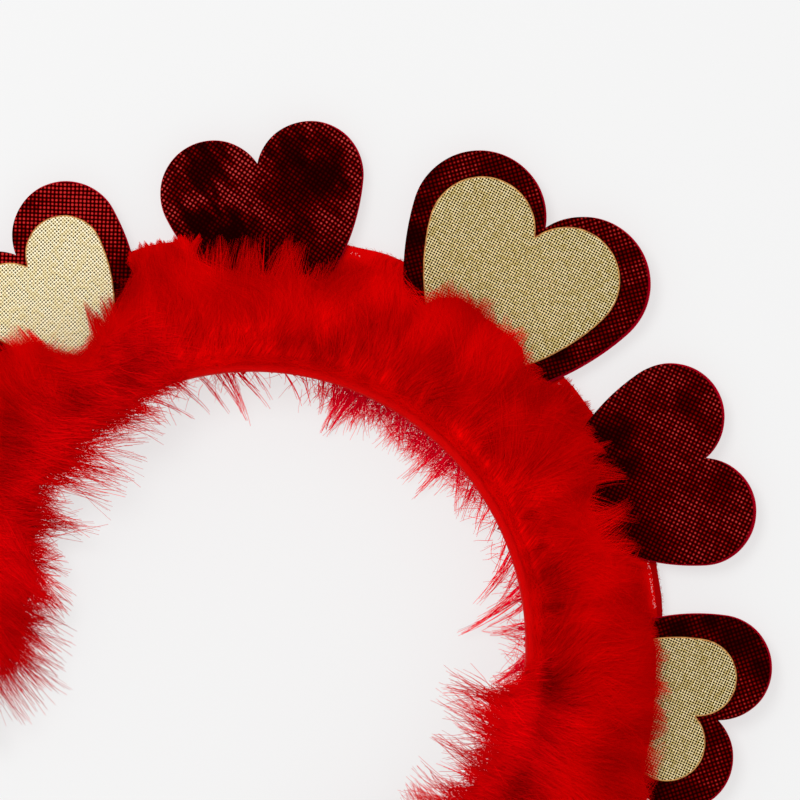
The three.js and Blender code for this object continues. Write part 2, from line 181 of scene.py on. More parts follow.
class Shading:
    """One material's node tree, with a Principled shader to dress."""

    def __init__(self, name: str) -> None:
        """Make an empty material with a Principled shader.

        Args:
            name: The material's name.
        """
        self.material = bpy.data.materials.new(name)
        self.material.use_nodes = True
        self.tree = self.material.node_tree
        self.tree.nodes.clear()
        self.shader = self.node("ShaderNodeBsdfPrincipled")
        output = self.node("ShaderNodeOutputMaterial")
        self.tree.links.new(self.shader.outputs[0], output.inputs["Surface"])

    def node(self, kind: str, settings: dict | None = None, sockets: dict | None = None) -> bpy.types.Node:
        """Add a node.

        Args:
            kind: The node's type.
            settings: Properties, which are set first.
            sockets: Values or links of its inputs, by name or number.

        Returns:
            The new node.
        """
        node = self.tree.nodes.new(kind)
        for name, value in (settings or {}).items():
            setattr(node, name, value)
        for name, value in (sockets or {}).items():
            self.plug(node.inputs[name], value)
        return node

    def plug(self, socket: Socket, value: object) -> None:
        """Link a wire or socket to an input, or set the input's own value.

        Args:
            socket: The input.
            value: A wire, a socket, a colour or a number.
        """
        if isinstance(value, Wire):
            value = value.socket
        if isinstance(value, Socket):
            self.tree.links.new(value, socket)
        elif isinstance(value, tuple) and socket.type == "RGBA":
            socket.default_value = (*value, 1.0)
        else:
            socket.default_value = value

    def dress(self, **values: object) -> Material:
        """Set the shader's sockets.

        Args:
            values: A value or link for each socket, named with underscores for spaces.

        Returns:
            The material.
        """
        for name, value in values.items():
            self.plug(self.shader.inputs[name.replace("_", " ")], value)
        return self.material

    def mix(
        self, factor: Wire | float, first: object, second: object, blend: Blend = Blend.MIX
    ) -> Socket:
        """Put two colours together.

        Args:
            factor: 0 for the first colour, 1 for the second or for what the blend makes of both.
            first: A colour or its socket.
            second: A colour or its socket.
            blend: How they are put together.

        Returns:
            The result's socket.
        """
        settings = {"data_type": "RGBA", "blend_type": blend.value}
        factor_socket, first_socket, second_socket, result = 0, 6, 7, 2
        sockets = {factor_socket: factor, first_socket: first, second_socket: second}
        return self.node("ShaderNodeMix", settings, sockets).outputs[result]

    def wire(self, kind: str, settings: dict, sockets: dict, output: str) -> Wire:
        """Return a wire from an output of a new node."""
        return Wire(self, self.node(kind, settings, sockets).outputs[output])

    def own_place(self) -> Socket:
        """Return the surface's place in its object, in metres."""
        return self.node("ShaderNodeTexCoord").outputs["Object"]

    def on_plane(self, x: Wire, y: Wire) -> Socket:
        """Return a place on a plane."""
        return self.node("ShaderNodeCombineXYZ", None, {0: x, 1: y}).outputs[0]

    def place(self, turn: float = 0.0) -> tuple[Wire, Wire]:
        """Give the surface's place in the plane of the floor.

        Args:
            turn: Degrees to turn it by about the vertical.

        Returns:
            Its x and y in millimetres.
        """
        sockets = {"Vector": self.own_place(), "Angle": math.radians(turn)}
        turned = self.node("ShaderNodeVectorRotate", {"rotation_type": "Z_AXIS"}, sockets)
        split = self.node("ShaderNodeSeparateXYZ", None, {0: turned.outputs[0]})
        x, y = (Wire(self, split.outputs[axis]) / MM for axis in "XY")
        return x, y

    def noise(self, spacing: float, detail: float = 2.0) -> Wire:
        """Return noise between 0 and 1 with patches of this size in millimetres and some finer octaves."""
        sockets = {"Vector": self.own_place(), "Scale": 1 / (spacing * MM), "Detail": detail}
        return self.wire("ShaderNodeTexNoise", {}, sockets, "Fac")

    def streaks(self, x: Wire, y: Wire, detail: float = 2.0) -> Wire:
        """Return noise between 0 and 1 over a plane, with patches one unit of x and y in size."""
        sockets = {"Vector": self.on_plane(x, y), "Scale": 1.0, "Detail": detail}
        return self.wire("ShaderNodeTexNoise", ON_PLANE, sockets, "Fac")

    def speckle(self, x: Wire, y: Wire) -> Wire:
        """Return a random number between 0 and 1 for each whole-number cell of x and y."""
        sockets = {"Vector": self.on_plane(x.floor(), y.floor())}
        return self.wire("ShaderNodeTexWhiteNoise", ON_PLANE, sockets, "Value")

    def attribute(self, name: str) -> Wire:
        """Return a number stored on the mesh."""
        return self.wire("ShaderNodeAttribute", {"attribute_name": name}, {}, "Fac")

    def bump(self, height: Wire, depth: float) -> Socket:
        """Return a normal bumped by a height between 0 and 1, depth millimetres deep."""
        sockets = {"Height": height, "Distance": depth * MM, "Strength": 1.0}
        return self.node("ShaderNodeBump", None, sockets).outputs[0]


@dataclass(frozen=True)
class FurFinish:
    """Fine matt acrylic hair, whose mesh carries the tone of each point between dark and bright."""

    dark: Colour = (0.10, 0.0, 0.0)
    bright: Colour = (0.86, 0.0006, 0.0006)
    roughness: float = 0.8

    def material(self, name: str) -> Material:
        """Return the material of hair ribbons."""
        shading = Shading(name)
        return shading.dress(
            Base_Color=shading.mix(shading.attribute("tone"), self.dark, self.bright),
            Roughness=self.roughness,
            Specular_IOR_Level=0.0,
        )


@dataclass(frozen=True)
class PileFinish:
    """Dense soft fur: the tone that its mesh carries, streaked along the way that the hair is combed.

    Strands and locks are so wide, and so many times as long. The streaks drift aside by some of their widths.
    """

    dark: Colour = (0.10, 0.0, 0.0)
    bright: Colour = (0.86, 0.0006, 0.0006)
    strand: float = 0.4
    strand_length: float = 14.0
    strand_share: float = 0.55
    lock: float = 2.4
    lock_length: float = 6.0
    drift: float = 5.0
    drift_patch: float = 16.0
    contrast: float = 0.24
    relief: float = 0.35
    roughness: float = 0.9

    def material(self, name: str) -> Material:
        """Make the pile's material.

        Args:
            name: The material's name.

        Returns:
            The material, for a mesh that carries its tone and its place round the arch and outwards.
        """
        shading = Shading(name)
        around, outward = shading.attribute("around"), shading.attribute("outward")
        drift = shading.noise(self.drift_patch) * self.drift
        fine = shading.streaks(around / self.strand + drift, outward / (self.strand_length * self.strand))
        broad = shading.streaks(around / self.lock + drift, outward / (self.lock_length * self.lock))
        streak = (fine * self.strand_share + broad * (1 - self.strand_share)).ramp(*NOISE_SPAN)
        tone = shading.attribute("tone") * streak.ramp(0.0, 1.0, 1 - self.contrast, 1 + self.contrast)
        return shading.dress(
            Base_Color=shading.mix(tone, self.dark, self.bright),
            Roughness=self.roughness,
            Specular_IOR_Level=0.0,
            Normal=shading.bump(streak, self.relief),
        )


@dataclass(frozen=True)
class FeltFinish:
    """Pressed felt: matt, with short fibres in every direction and faint cloudy patches."""

    colour: Colour = (0.66, 0.0008, 0.0008)
    shade: Colour = (0.5, 0.0003, 0.0004)
    edge: Colour = (0.33, 0.0, 0.001)
    edge_from: float | None = None
    edge_blur: float = 0.15
    fibre: float = 0.28
    fibre_share: float = 0.6
    cloud: float = 5.6
    shade_span: Span = (0.32, 0.62)
    relief: float = 0.12
    roughness: float = 0.92

    def material(self, name: str) -> Material:
        """Make the felt's material, darker from a radius outwards if one is given.

        Args:
            name: The material's name.

        Returns:
            The material. Where an edge is given, the mesh carries how far out each point is.
        """
        shading = Shading(name)
        fibres = shading.noise(self.fibre, detail=3.0)
        depth = fibres * self.fibre_share + shading.noise(self.cloud) * (1 - self.fibre_share)
        colour = shading.mix(depth.ramp(*self.shade_span), self.shade, self.colour)
        if self.edge_from is not None:
            outward = shading.attribute("outward")
            beyond = outward.ramp(self.edge_from - self.edge_blur, self.edge_from + self.edge_blur)
            colour = shading.mix(beyond, colour, self.edge)
        return shading.dress(
            Base_Color=colour,
            Roughness=self.roughness,
            Specular_IOR_Level=0.0,
            Normal=shading.bump(fibres, self.relief),
        )


@dataclass(frozen=True)
class SatinFinish:
    """Smooth satin ribbon with fine threads, rougher where it is dull than where it shines."""

    colour: Colour = (0.66, 0.0004, 0.0004)
    shade: Colour = (0.54, 0.0002, 0.0003)
    thread: float = 0.16
    slub_length: float = 2.24
    fold: float = 3.2
    fold_relief: float = 0.6
    shade_span: Span = (0.2, 0.75)
    gloss_span: Span = (0.1, 0.9)
    roughness: Span = (0.6, 0.42)
    specular: float = 0.02
    relief: float = 0.1

    def material(self, name: str) -> Material:
        """Make the satin's material.

        Args:
            name: The material's name.

        Returns:
            The material, for a mesh that carries its place round and across the band.
        """
        shading = Shading(name)
        around, across = shading.attribute("around"), shading.attribute("across")
        threads = (across / self.thread).ridges()
        slubs = shading.speckle(around / self.slub_length, across / self.thread)
        folds = shading.noise(self.fold)
        sheen = ((threads + slubs) / 2 + folds) / 2
        height = threads * (1 - self.fold_relief) + folds * self.fold_relief
        return shading.dress(
            Base_Color=shading.mix(sheen.ramp(*self.shade_span), self.shade, self.colour),
            Roughness=sheen.ramp(*self.gloss_span, *self.roughness),
            Specular_IOR_Level=self.specular,
            Normal=shading.bump(height, self.relief),
        )


@dataclass(frozen=True)
class Blot:
    """A dark place on a heart's cloth: where its middle is, its size, and how dark it is from 0 to 1."""

    angle: float
    radius: float
    size: float
    dark: float


@dataclass(frozen=True)
class DottedWeaveFinish:
    """Near-black cloth whose weave lets a red thread come up as a dot at each crossing.

    Creases, whose darkening is painted shade, and scratches have a width and a length. The dots fade into the
    painted shadow of the fur at the near end of its span.
    """

    turn: float
    brightness: float
    crease_shade_depth: float
    blots: tuple[Blot, ...] = ()
    ground: Colour = (0.0065, 0.0, 0.0)
    dot: Colour = (0.32, 0.0, 0.0)
    glint: Colour = (0.46, 0.05, 0.048)
    glint_span: Span = (0.4, 1.3)
    pitch: float = 0.952
    drift: float = 0.35
    drift_patch: float = 7.0
    uneven: float = 0.25
    # The crease fields shape painted shade of creases and folds in the cloth.
    crease: Span = (16.0, 5.0)
    crease_share: float = 0.6
    crease_shade_patch: float = 9.0
    crease_shade_span: Span = (0.36, 0.6)
    # Painted shadow of the fur: the dots darken towards the fur's edge.
    painted_fur_shadow: float = 0.3
    painted_fur_shadow_span: Span = (92.0, 108.0)
    scratch: Span = (2.6, 11.0)
    scratch_turn: float = 110.0
    scratch_sway: float = 1.5
    fray_patch: float = 3.0
    fray_sway: float = 0.8
    blot_span: Span = (0.35, 1.3)
    relief: float = 0.1
    roughness: float = 0.75

    def material(self, name: str, arch: "Arch") -> Material:
        """Make the dotted cloth's material.

        Args:
            name: The material's name.
            arch: The arch that the blots are placed round.

        Returns:
            The material, for a mesh that carries how far out each point is.
        """
        shading = Shading(name)
        x, y = shading.place(self.turn)
        drift = shading.noise(self.drift_patch) * self.drift
        u = x / self.pitch + drift
        v = y / self.pitch + drift
        spot = u.ridges() * v.ridges()
        each = shading.speckle(u + 0.5, v + 0.5).ramp(0.0, 1.0, 1 - self.uneven, 1 + self.uneven)
        # Painted shade of soft creases and folds: streaks and patches that darken the dots.
        creases = shading.streaks(x / self.crease[0], y / self.crease[1], detail=1.0) * self.crease_share
        patches = shading.noise(self.crease_shade_patch, detail=1.0) * (1 - self.crease_share)
        painted_crease_shade = (creases + patches).ramp(*self.crease_shade_span, 1 - self.crease_shade_depth, 1.0)
        # Painted shadow of the fur: darker dots closer in, towards the fur's edge.
        painted_fur_shadow = shading.attribute("outward").ramp(*self.painted_fur_shadow_span, self.painted_fur_shadow, 1.0)
        light = spot * each * painted_crease_shade * painted_fur_shadow * self.unblotted(shading, arch) * self.brightness
        dots = shading.mix(light, self.ground, self.dot)
        return shading.dress(
            Base_Color=shading.mix(light.ramp(*self.glint_span), dots, self.glint),
            Roughness=self.roughness,
            Specular_IOR_Level=0.0,
            Normal=shading.bump(spot, self.relief),
        )

    def unblotted(self, shading: Shading, arch: "Arch") -> Wire | float:
        """Find how much light each place keeps: all of it away from the blots, less on them.

        Args:
            shading: The material's node tree.
            arch: The arch that the blots are placed round.

        Returns:
            A value between 0 and 1.
        """
        x, y = shading.place()
        across, along = shading.place(self.turn + self.scratch_turn)
        scratches = shading.streaks(across / self.scratch[0], along / self.scratch[1], detail=3.0)
        fray = shading.noise(self.fray_patch)
        sway = (fray - 0.5) * self.fray_sway + (scratches - 0.5) * self.scratch_sway
        kept: Wire | float = 1.0
        for blot in self.blots:
            middle = arch.at(blot.angle, blot.radius, 0.0) / MM
            across = (x - float(middle[0])) / blot.size
            along = (y - float(middle[1])) / blot.size
            distance = (across * across + along * along) ** 0.5 + sway
            kept = kept * distance.ramp(*self.blot_span, 1 - blot.dark, 1.0)
        return kept


@dataclass(frozen=True)
class GoldWeaveFinish:
    """Open plain weave of flat gold threads with dark gaps at the corners between them.

    Slubs have a width and a length in threads. Holes and brown rims start so far from a thread's middle.
    """

    turn: float
    shine: float
    openness: float = 1.0
    thread: Colour = (1.0, 0.86, 0.52)
    dull: Colour = (0.68, 0.55, 0.25)
    brown: Colour = (0.38, 0.24, 0.006)
    gap: Colour = (0.008, 0.003, 0.0)
    pitch: float = 0.631
    drift: float = 0.4
    drift_patch: float = 6.0
    hole_from: float = 0.73
    hole_depths: Span = (0.9, 1.5)
    rim_from: float = 0.88
    slub: Span = (0.5, 7.0)
    slub_share: float = 0.5
    patch: float = 5.0
    patch_share: float = 0.15
    bright_span: Span = (0.3, 0.68)
    roughness: Span = (0.65, 0.5)
    relief: float = 0.12

    def material(self, name: str) -> Material:
        """Make the gold cloth's material.

        Args:
            name: The material's name.

        Returns:
            The material.
        """
        shading = Shading(name)
        x, y = shading.place(self.turn)
        drift = shading.noise(self.drift_patch) * self.drift
        u = x / self.pitch + drift
        v = y / self.pitch + drift
        warp = (u * math.pi).cosine().absolute()
        weft = (v * math.pi).cosine().absolute()
        hole = 1 - warp.larger(weft).ramp(self.hole_from, 1.0)
        shallow, deep = (depth * self.openness for depth in self.hole_depths)
        depth = shading.speckle(u, v).ramp(0.0, 1.0, shallow, deep)
        wide, long = self.slub
        slub = (shading.streaks(u / wide, v / long) + shading.streaks(u / long, v / wide)) / 2
        each = shading.speckle(u + 0.5, v + 0.5) * (1 - self.slub_share - self.patch_share)
        bright = slub * self.slub_share + shading.noise(self.patch) * self.patch_share + each
        bright = bright.ramp(*self.bright_span)
        rim = 1 - warp.larger(weft).ramp(self.rim_from, 1.0)
        threads = shading.mix(rim * self.openness, shading.mix(bright, self.dull, self.thread), self.brown)
        lit = shading.mix(1.0, threads, (self.shine, self.shine, self.shine), Blend.MULTIPLY)
        return shading.dress(
            Base_Color=shading.mix(hole * depth, lit, self.gap),
            Roughness=bright.ramp(0.0, 1.0, *self.roughness),
            Specular_IOR_Level=0.0,
            Normal=shading.bump((warp + weft) / 2, self.relief),
        )


@dataclass(frozen=True)
class PlainFinish:
    """A matt surface with faint mottling between two colours."""

    low: Colour
    high: Colour
    patch: float = 1.5
    roughness: float = 0.8

    def material(self, name: str) -> Material:
        """Return the mottled material."""
        shading = Shading(name)
        return shading.dress(
            Base_Color=shading.mix(shading.noise(self.patch).ramp(*NOISE_SPAN), self.low, self.high),
            Roughness=self.roughness,
        )


def smooth(value: Numbers, start: Numbers, end: Numbers) -> Array:
    """Return 0 before start, 1 after end, and a smooth climb between."""
    share = np.clip((np.asarray(value, float) - start) / (end - start), 0, 1)
    return share * share * (3 - 2 * share)


def unit(vectors: Array) -> Array:
    """Return vectors of these directions that are one long."""
    return vectors / (np.linalg.norm(vectors, axis=-1, keepdims=True) + TINY)


def level(node: str, top: bool) -> float:
    """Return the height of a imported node's top or bottom in millimetres."""
    low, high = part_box(node)
    return (high.z if top else low.z) / MM


def read_rows(rows: Sequence[object], place: str, value: str, at: Numbers) -> Array:
    """Return one column of a table at places along another column, blended between its rows."""
    return np.interp(at, [getattr(row, place) for row in rows], [getattr(row, value) for row in rows])


@dataclass(frozen=True)
class Arch:
    """The arc of the head band, which every piece is placed round, and how the band tapers along it."""

    centre: Array
    outside: float = 67.6
    taper_from: float = 40.0
    tip_angle: float = 143.0
    tip_share: float = 0.6

    @classmethod
    def of_band(cls) -> "Arch":
        """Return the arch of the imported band: its box gives the arc's centre."""
        low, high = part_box("band")
        return cls(np.array([(low.x + high.x) / 2, high.y - cls.outside * MM, 0.0]))

    def at(self, angle: Numbers, radius: Numbers, height: Numbers) -> Array:
        """Find places round the arch.

        Args:
            angle: Degrees from the crown.
            radius: Millimetres from the arc's centre.
            height: Millimetres above the floor.

        Returns:
            Places in metres, in an array whose last axis is x, y, z.
        """
        turn = np.radians(angle)
        x, y, z = np.broadcast_arrays(radius * np.sin(turn), radius * np.cos(turn), height)
        return self.centre + np.stack([x, y, z], axis=-1) * MM

    def polar(self, places: Array) -> tuple[Array, Array]:
        """Return the angles and radii of places in metres."""
        x, y = np.moveaxis((places - self.centre)[..., :2] / MM, -1, 0)
        return np.degrees(np.arctan2(x, y)), np.hypot(x, y)

    def taper(self, angle: Numbers) -> Array:
        """Return the band's width at these angles as a share of its width at the crown."""
        return 1 - (1 - self.tip_share) * smooth(np.abs(angle), self.taper_from, self.tip_angle)


class Patches:
    """Smooth random patches over a plane: random numbers on a grid, blended between its points."""

    def __init__(self, draw: Draw, side: int = 97) -> None:
        """Draw the grid, after whose side the pattern repeats."""
        self.grid = draw.uniform(-1, 1, (side, side))

    def at(self, x: Numbers, y: Numbers) -> Array:
        """Read the patches, which are about one unit wide.

        Args:
            x: Place across the plane.
            y: Place along it.

        Returns:
            Numbers between -1 and 1.
        """
        side = len(self.grid)
        x, y = np.broadcast_arrays(x, y)
        column, row = np.floor(x).astype(int), np.floor(y).astype(int)
        u, v = smooth(x - column, 0, 1), smooth(y - row, 0, 1)
        left, right = column % side, (column + 1) % side
        near, far = (
            self.grid[line % side, left] * (1 - u) + self.grid[line % side, right] * u
            for line in (row, row + 1)
        )
        return near * (1 - v) + far * v


@dataclass(frozen=True)
class Mottle:
    """Soft patches round the arch: their strength, and how many degrees and millimetres wide each is."""

    strength: float
    degrees: float
    millimetres: float

    def at(self, patches: Patches, angle: Numbers, radius: Numbers) -> Array:
        """Return numbers up to the strength to both sides of 0."""
        return self.strength * patches.at(angle / self.degrees, radius / self.millimetres)


@dataclass
class MeshData:
    """Points and faces of a mesh on the way to Blender, with the material of each face."""

    points: Array
    faces: Array
    slots: Array | None = None
    numbers: dict[str, Array] = field(default_factory=dict)
    uv: Array | None = None
    normals: Array | None = None

    def piece(self, name: str, slot: Slot, materials: Sequence[Material]) -> bpy.types.Object:
        """Make the object, which rides on the headband's body.

        Args:
            name: The piece's name.
            slot: The record's slot; not used.
            materials: Its materials, in the order of slots.

        Returns:
            The new object.
        """
        mesh = bpy.data.meshes.new(name)
        corners = self.faces.shape[1]
        mesh.vertices.add(len(self.points))
        mesh.vertices.foreach_set("co", self.points.astype(np.float32).ravel())
        mesh.loops.add(self.faces.size)
        mesh.loops.foreach_set("vertex_index", self.faces.astype(np.int32).ravel())
        mesh.polygons.add(len(self.faces))
        mesh.polygons.foreach_set("loop_start", np.arange(0, self.faces.size, corners, dtype=np.int32))
        mesh.polygons.foreach_set("use_smooth", np.ones(len(self.faces), bool))
        if self.slots is not None:
            mesh.polygons.foreach_set("material_index", self.slots.astype(np.int32))
        mesh.update(calc_edges=True)
        for key, values in self.numbers.items():
            attribute = mesh.attributes.new(key, "FLOAT", "POINT")
            attribute.data.foreach_set("value", values.astype(np.float32).ravel())
        if self.uv is not None:
            layer = mesh.uv_layers.new(name=BAKE_MAP)
            layer.uv.foreach_set("vector", self.uv[self.faces.ravel()].astype(np.float32).ravel())
        if self.normals is not None:
            mesh.normals_split_custom_set_from_vertices(self.normals)
        for material in materials:
            mesh.materials.append(material)
        piece = bpy.data.objects.new(name, mesh)
        bpy.context.scene.collection.objects.link(piece)
        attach(piece, BODY)
        LOG.info("%s: %d faces", name, len(self.faces))
        return piece


def strip_faces(stations: int, corners: int) -> Array:
    """Join stations of a closed section with quads, without end caps.

    Args:
        stations: How many stations there are.
        corners: How many corners the section has.

    Returns:
        Four numbers of corners for each quad.
    """
    start = np.arange(stations - 1)[:, None] * corners
    corner = np.arange(corners)[None]
    here, beside = start + corner, start + (corner + 1) % corners
    return np.stack([here, beside, beside + corners, here + corners], axis=-1).reshape(-1, 4)


def loft(sections: Array) -> MeshData:
    """Cover sections with a closed skin.

    Args:
        sections: The corners of each section, an array of stations, corners and x, y, z.

    Returns:
        The mesh, where each end closes to the middle of its section.
    """
    first, last = (np.broadcast_to(end.mean(0), end.shape) for end in (sections[0], sections[-1]))
    closed = np.concatenate([first[None], sections, last[None]])
    return MeshData(closed.reshape(-1, 3), strip_faces(len(closed), closed.shape[1]))


def capped(values: Array) -> Array:
    """Return values of sections with the first and the last twice, for a loft with its closed ends."""
    return np.concatenate([values[:1], values, values[-1:]])


def fur_skin(
    arch: Arch, angle: Array, radius: Array, height: Array, tone: Array
) -> MeshData:
    """Make the closed skin of a pile of fur.

    Args:
        arch: The arch that it follows.
        angle: The angle of each section, as a column.
        radius: The radius of each corner of each section.
        height: The corners' heights.
        tone: The fur's tone at each corner.

    Returns:
        The mesh, which carries its tone and its place round the arch and outwards.
    """
    data = loft(arch.at(angle, radius, height))
    around = np.radians(angle) * radius
    for name, values in (("tone", tone), ("around", around), ("outward", radius)):
        data.numbers[name] = capped(values).ravel()
    return data


@dataclass(frozen=True)
class HeartRow:
    """One heart: the place between its lobes, its lean, its width, and how far its felt shows aside."""

    name: str
    angle: float
    radius: float
    lean: float
    width: float
    rim: float = 0.0


@dataclass(frozen=True)
class HeartOutline:
    """The outline of a heart as shares of its width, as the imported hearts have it."""

    lobe_offset: float = 0.24
    lobe_radius: float = 0.26
    tip_depth: float = 0.7
    flank_angle: float = 16.0
    steps: int = 26

    def points(self, width: float) -> Array:
        """Find points round the outline.

        Args:
            width: The heart's width.

        Returns:
            Rows of x and y, anticlockwise from the notch.
        """
        flank = math.radians(self.flank_angle)
        notch = math.acos(self.lobe_offset / self.lobe_radius)
        tip = np.array([0.0, -self.tip_depth])
        away = np.array([math.cos(flank), -math.sin(flank)])
        leave = np.array([self.lobe_offset, 0.0]) + self.lobe_radius * away
        chord = leave - tip
        radius = chord @ chord / (2 * chord @ away)
        centre = leave - radius * away
        tip_turn = math.atan2(tip[1] - centre[1], tip[0] - centre[0])
        lobe = np.linspace(notch, math.pi + flank, 2 * self.steps, endpoint=False)
        side = np.linspace(math.pi + flank, math.pi - tip_turn, self.steps, endpoint=False)
        left = [
            np.stack([np.cos(lobe), np.sin(lobe)], 1) * self.lobe_radius - [self.lobe_offset, 0],
            np.stack([np.cos(side), np.sin(side)], 1) * radius + [-centre[0], centre[1]],
        ]
        half = np.concatenate(left)
        right = np.concatenate([tip[None], (half * [-1, 1])[:0:-1]])
        return np.concatenate([half, right]) * width


@dataclass
class Hearts:
    """The hearts: felt below, dotted red cloth on it, and a gold heart on three of them."""

    arch: Arch
    rows: tuple[HeartRow, ...] = (
        HeartRow("heart_1", -65, 103.8, -79.5, 48.6, 0.1),
        HeartRow("heart_2", -33.3, 109.8, -45.9, 48.4, 0.1),
        HeartRow("heart_3", 0.7, 114.9, -1.8, 60.8, 0.45),
        HeartRow("heart_4", 32.9, 111.5, 37.2, 48.9, 0.6),
        HeartRow("heart_5", 64.2, 107.5, 78.9, 47.9, 0.3),
    )
    gold_rows: tuple[HeartRow, ...] = (
        HeartRow("heart_1", -64.8, 101.3, -75.5, 35.7),
        HeartRow("heart_3", 0.5, 113.2, -3.5, 48.9),
        HeartRow("heart_5", 64.2, 103.5, 81.4, 35.7),
    )
    felt_margin: float = 0.6
    rim_side: tuple[float, float] = (0.9, 0.43)
    weaves: tuple[DottedWeaveFinish, ...] = (
        DottedWeaveFinish(
            turn=-32.2, brightness=2.0, crease_shade_depth=0.3,
            glint=(0.5, 0.022, 0.022),
            blots=(Blot(-61.9, 116.2, 3.5, 0.4), Blot(-56.1, 87.1, 5, 0.6), Blot(-64.7, 111.1, 3, 0.5)),
        ),
        DottedWeaveFinish(
            turn=-0.8, brightness=1.35, crease_shade_depth=0.35,
            blots=(
                Blot(-40.2, 114.1, 7.5, 0.9),
                Blot(-41.5, 101.5, 5.6, 0.95),
                Blot(-36.9, 99.4, 6, 0.95),
                Blot(-27.5, 113, 12, 0.72),
                Blot(-26, 113.6, 6.5, 0.75),
                Blot(-30.4, 118.1, 6, 0.6),
                Blot(-27.8, 99, 4.5, 0.6),
                Blot(-44.1, 108.4, 2.8, 0.5),
            ),
        ),
        DottedWeaveFinish(
            turn=-49.9, brightness=0.8, crease_shade_depth=0.5,
            blots=(
                Blot(-12.8, 105, 4.4, 0.9),
                Blot(-13.5, 112.1, 3, 0.6),
                Blot(12.3, 100.6, 3, 0.85),
                Blot(-13.5, 118.5, 3, 0.5),
            ),
        ),
        DottedWeaveFinish(
            turn=-8.4, brightness=0.96, crease_shade_depth=0.3,
            blots=(
                Blot(25.4, 100.4, 4.8, 0.8),
                Blot(29.8, 99.9, 3.5, 0.75),
                Blot(26.4, 119.4, 4, 0.55),
                Blot(36.6, 118.5, 4, 0.35),
                Blot(30, 120, 3, 0.3),
            ),
        ),
        DottedWeaveFinish(
            turn=-52.9, brightness=0.74, crease_shade_depth=0.5,
            blots=(
                Blot(55.5, 117, 7, 0.75),
                Blot(53.6, 101.9, 3.5, 0.85),
                Blot(52.7, 109.1, 2.6, 0.75),
                Blot(58.4, 121, 3, 0.7),
                Blot(75, 102.1, 3.5, 0.6),
            ),
        ),
    )
    golds: tuple[GoldWeaveFinish, ...] = (
        GoldWeaveFinish(
            turn=-76.7, shine=1.28, openness=0.62, thread=(0.92, 0.84, 0.62), dull=(0.74, 0.65, 0.4)
        ),
        GoldWeaveFinish(turn=-6.1, shine=1.0),
        GoldWeaveFinish(turn=-10.7, shine=0.97, openness=1.2),
    )
    felt: FeltFinish = FeltFinish((0.42, 0.0, 0.012), (0.26, 0.0, 0.006))
    gold_edge: PlainFinish = PlainFinish((0.36, 0.12, 0.02), (0.62, 0.30, 0.07))
    wave: float = 0.55
    wave_from: Span = (92.0, 125.0)
    wave_lengths: tuple[float, float, float] = (9.0, 8.0, 14.0)
    wave_phases: Span = (2.1, 1.3)
    edge_round: float = 0.3
    bevel: float = 0.09
    middle_drop: float = 0.12
    wobble: float = 0.1
    wobble_waves: tuple[int, ...] = (3, 7, 12, 19)
    wobble_phase: float = 1.7
    rings: tuple[float, ...] = (0.0, 0.2, 0.4, 0.6, 0.8, 0.94)
    outline: HeartOutline = field(default_factory=HeartOutline)

    def build(self) -> None:
        """Build every layer of every heart."""
        felt = self.felt.material("heart_felt")
        edge = self.gold_edge.material("gold_edge")
        across, along = self.rim_side
        for number, row in enumerate(self.rows):
            wide = replace(row, width=row.width + self.felt_margin)
            shift = (across * row.rim, along * row.rim)
            self.layer(f"{row.name}_felt", wide, Slot.FELT, [felt], number, shift)
            red = self.weaves[number].material(f"{row.name}_dots", self.arch)
            self.layer(f"{row.name}_red", row, Slot.RED_WEAVE, [red], number)
        numbers = {row.name: number for number, row in enumerate(self.rows)}
        for row, finish in zip(self.gold_rows, self.golds):
            gold = finish.material(f"{row.name}_threads")
            self.layer(f"{row.name}_gold", row, Slot.GOLD_WEAVE, [gold, edge], numbers[row.name])

    def layer(
        self,
        node: str,
        row: HeartRow,
        slot: Slot,
        materials: Sequence[Material],
        number: int,
        shift: Span = (0.0, 0.0),
    ) -> None:
        """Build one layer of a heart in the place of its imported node.

        Args:
            node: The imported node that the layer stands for.
            row: The heart's place and width.
            slot: The record's slot.
            materials: The face's material, and the edge's if it has its own.
            number: The heart's number, which sets how its cloth waves.
            shift: How far the layer sits to one side, in millimetres.
        """
        low, high = level(node, top=False), level(node, top=True)
        rim = self.cut(self.outline.points(row.width), number, len(node))
        inward = self.inward(rim)
        middle = np.array([0.0, -self.middle_drop * row.width])
        inset, chamfer = rim + inward * self.edge_round, rim + inward * self.bevel
        face = [middle + (inset - middle) * share for share in self.rings]
        top = [(ring, high) for ring in face]
        edge = [
            (inset, high),
            (chamfer, high - self.bevel),
            (rim, high - self.edge_round),
            (rim, low + self.edge_round),
            (chamfer, low + self.bevel),
            (inset, low),
        ]
        bottom = [(ring, low) for ring in reversed(face)]
        rings = [self.set_down(flat, row, height, number, shift) for flat, height in top + edge + bottom]
        faces = strip_faces(len(rings), len(rim))
        slots = np.zeros(len(faces), int)
        if len(materials) > 1:
            ring = np.arange(len(faces)) // len(rim)
            slots[(ring >= len(top)) & (ring < len(top) + len(edge) - 1)] = 1
        data = MeshData(np.concatenate(rings), faces[:, ::-1], slots)
        data.numbers["outward"] = self.arch.polar(data.points)[1]
        piece = data.piece(f"{node}_cloth", slot, materials)
        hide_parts(node)
        size = (rim.max(0) - rim.min(0)) * MM
        x, y = (rim * MM).T
        below = {"_felt": "felt_arch", "_red": f"{row.name}_felt", "_gold": f"{row.name}_red"}
        under = below[node.removeprefix(row.name)]

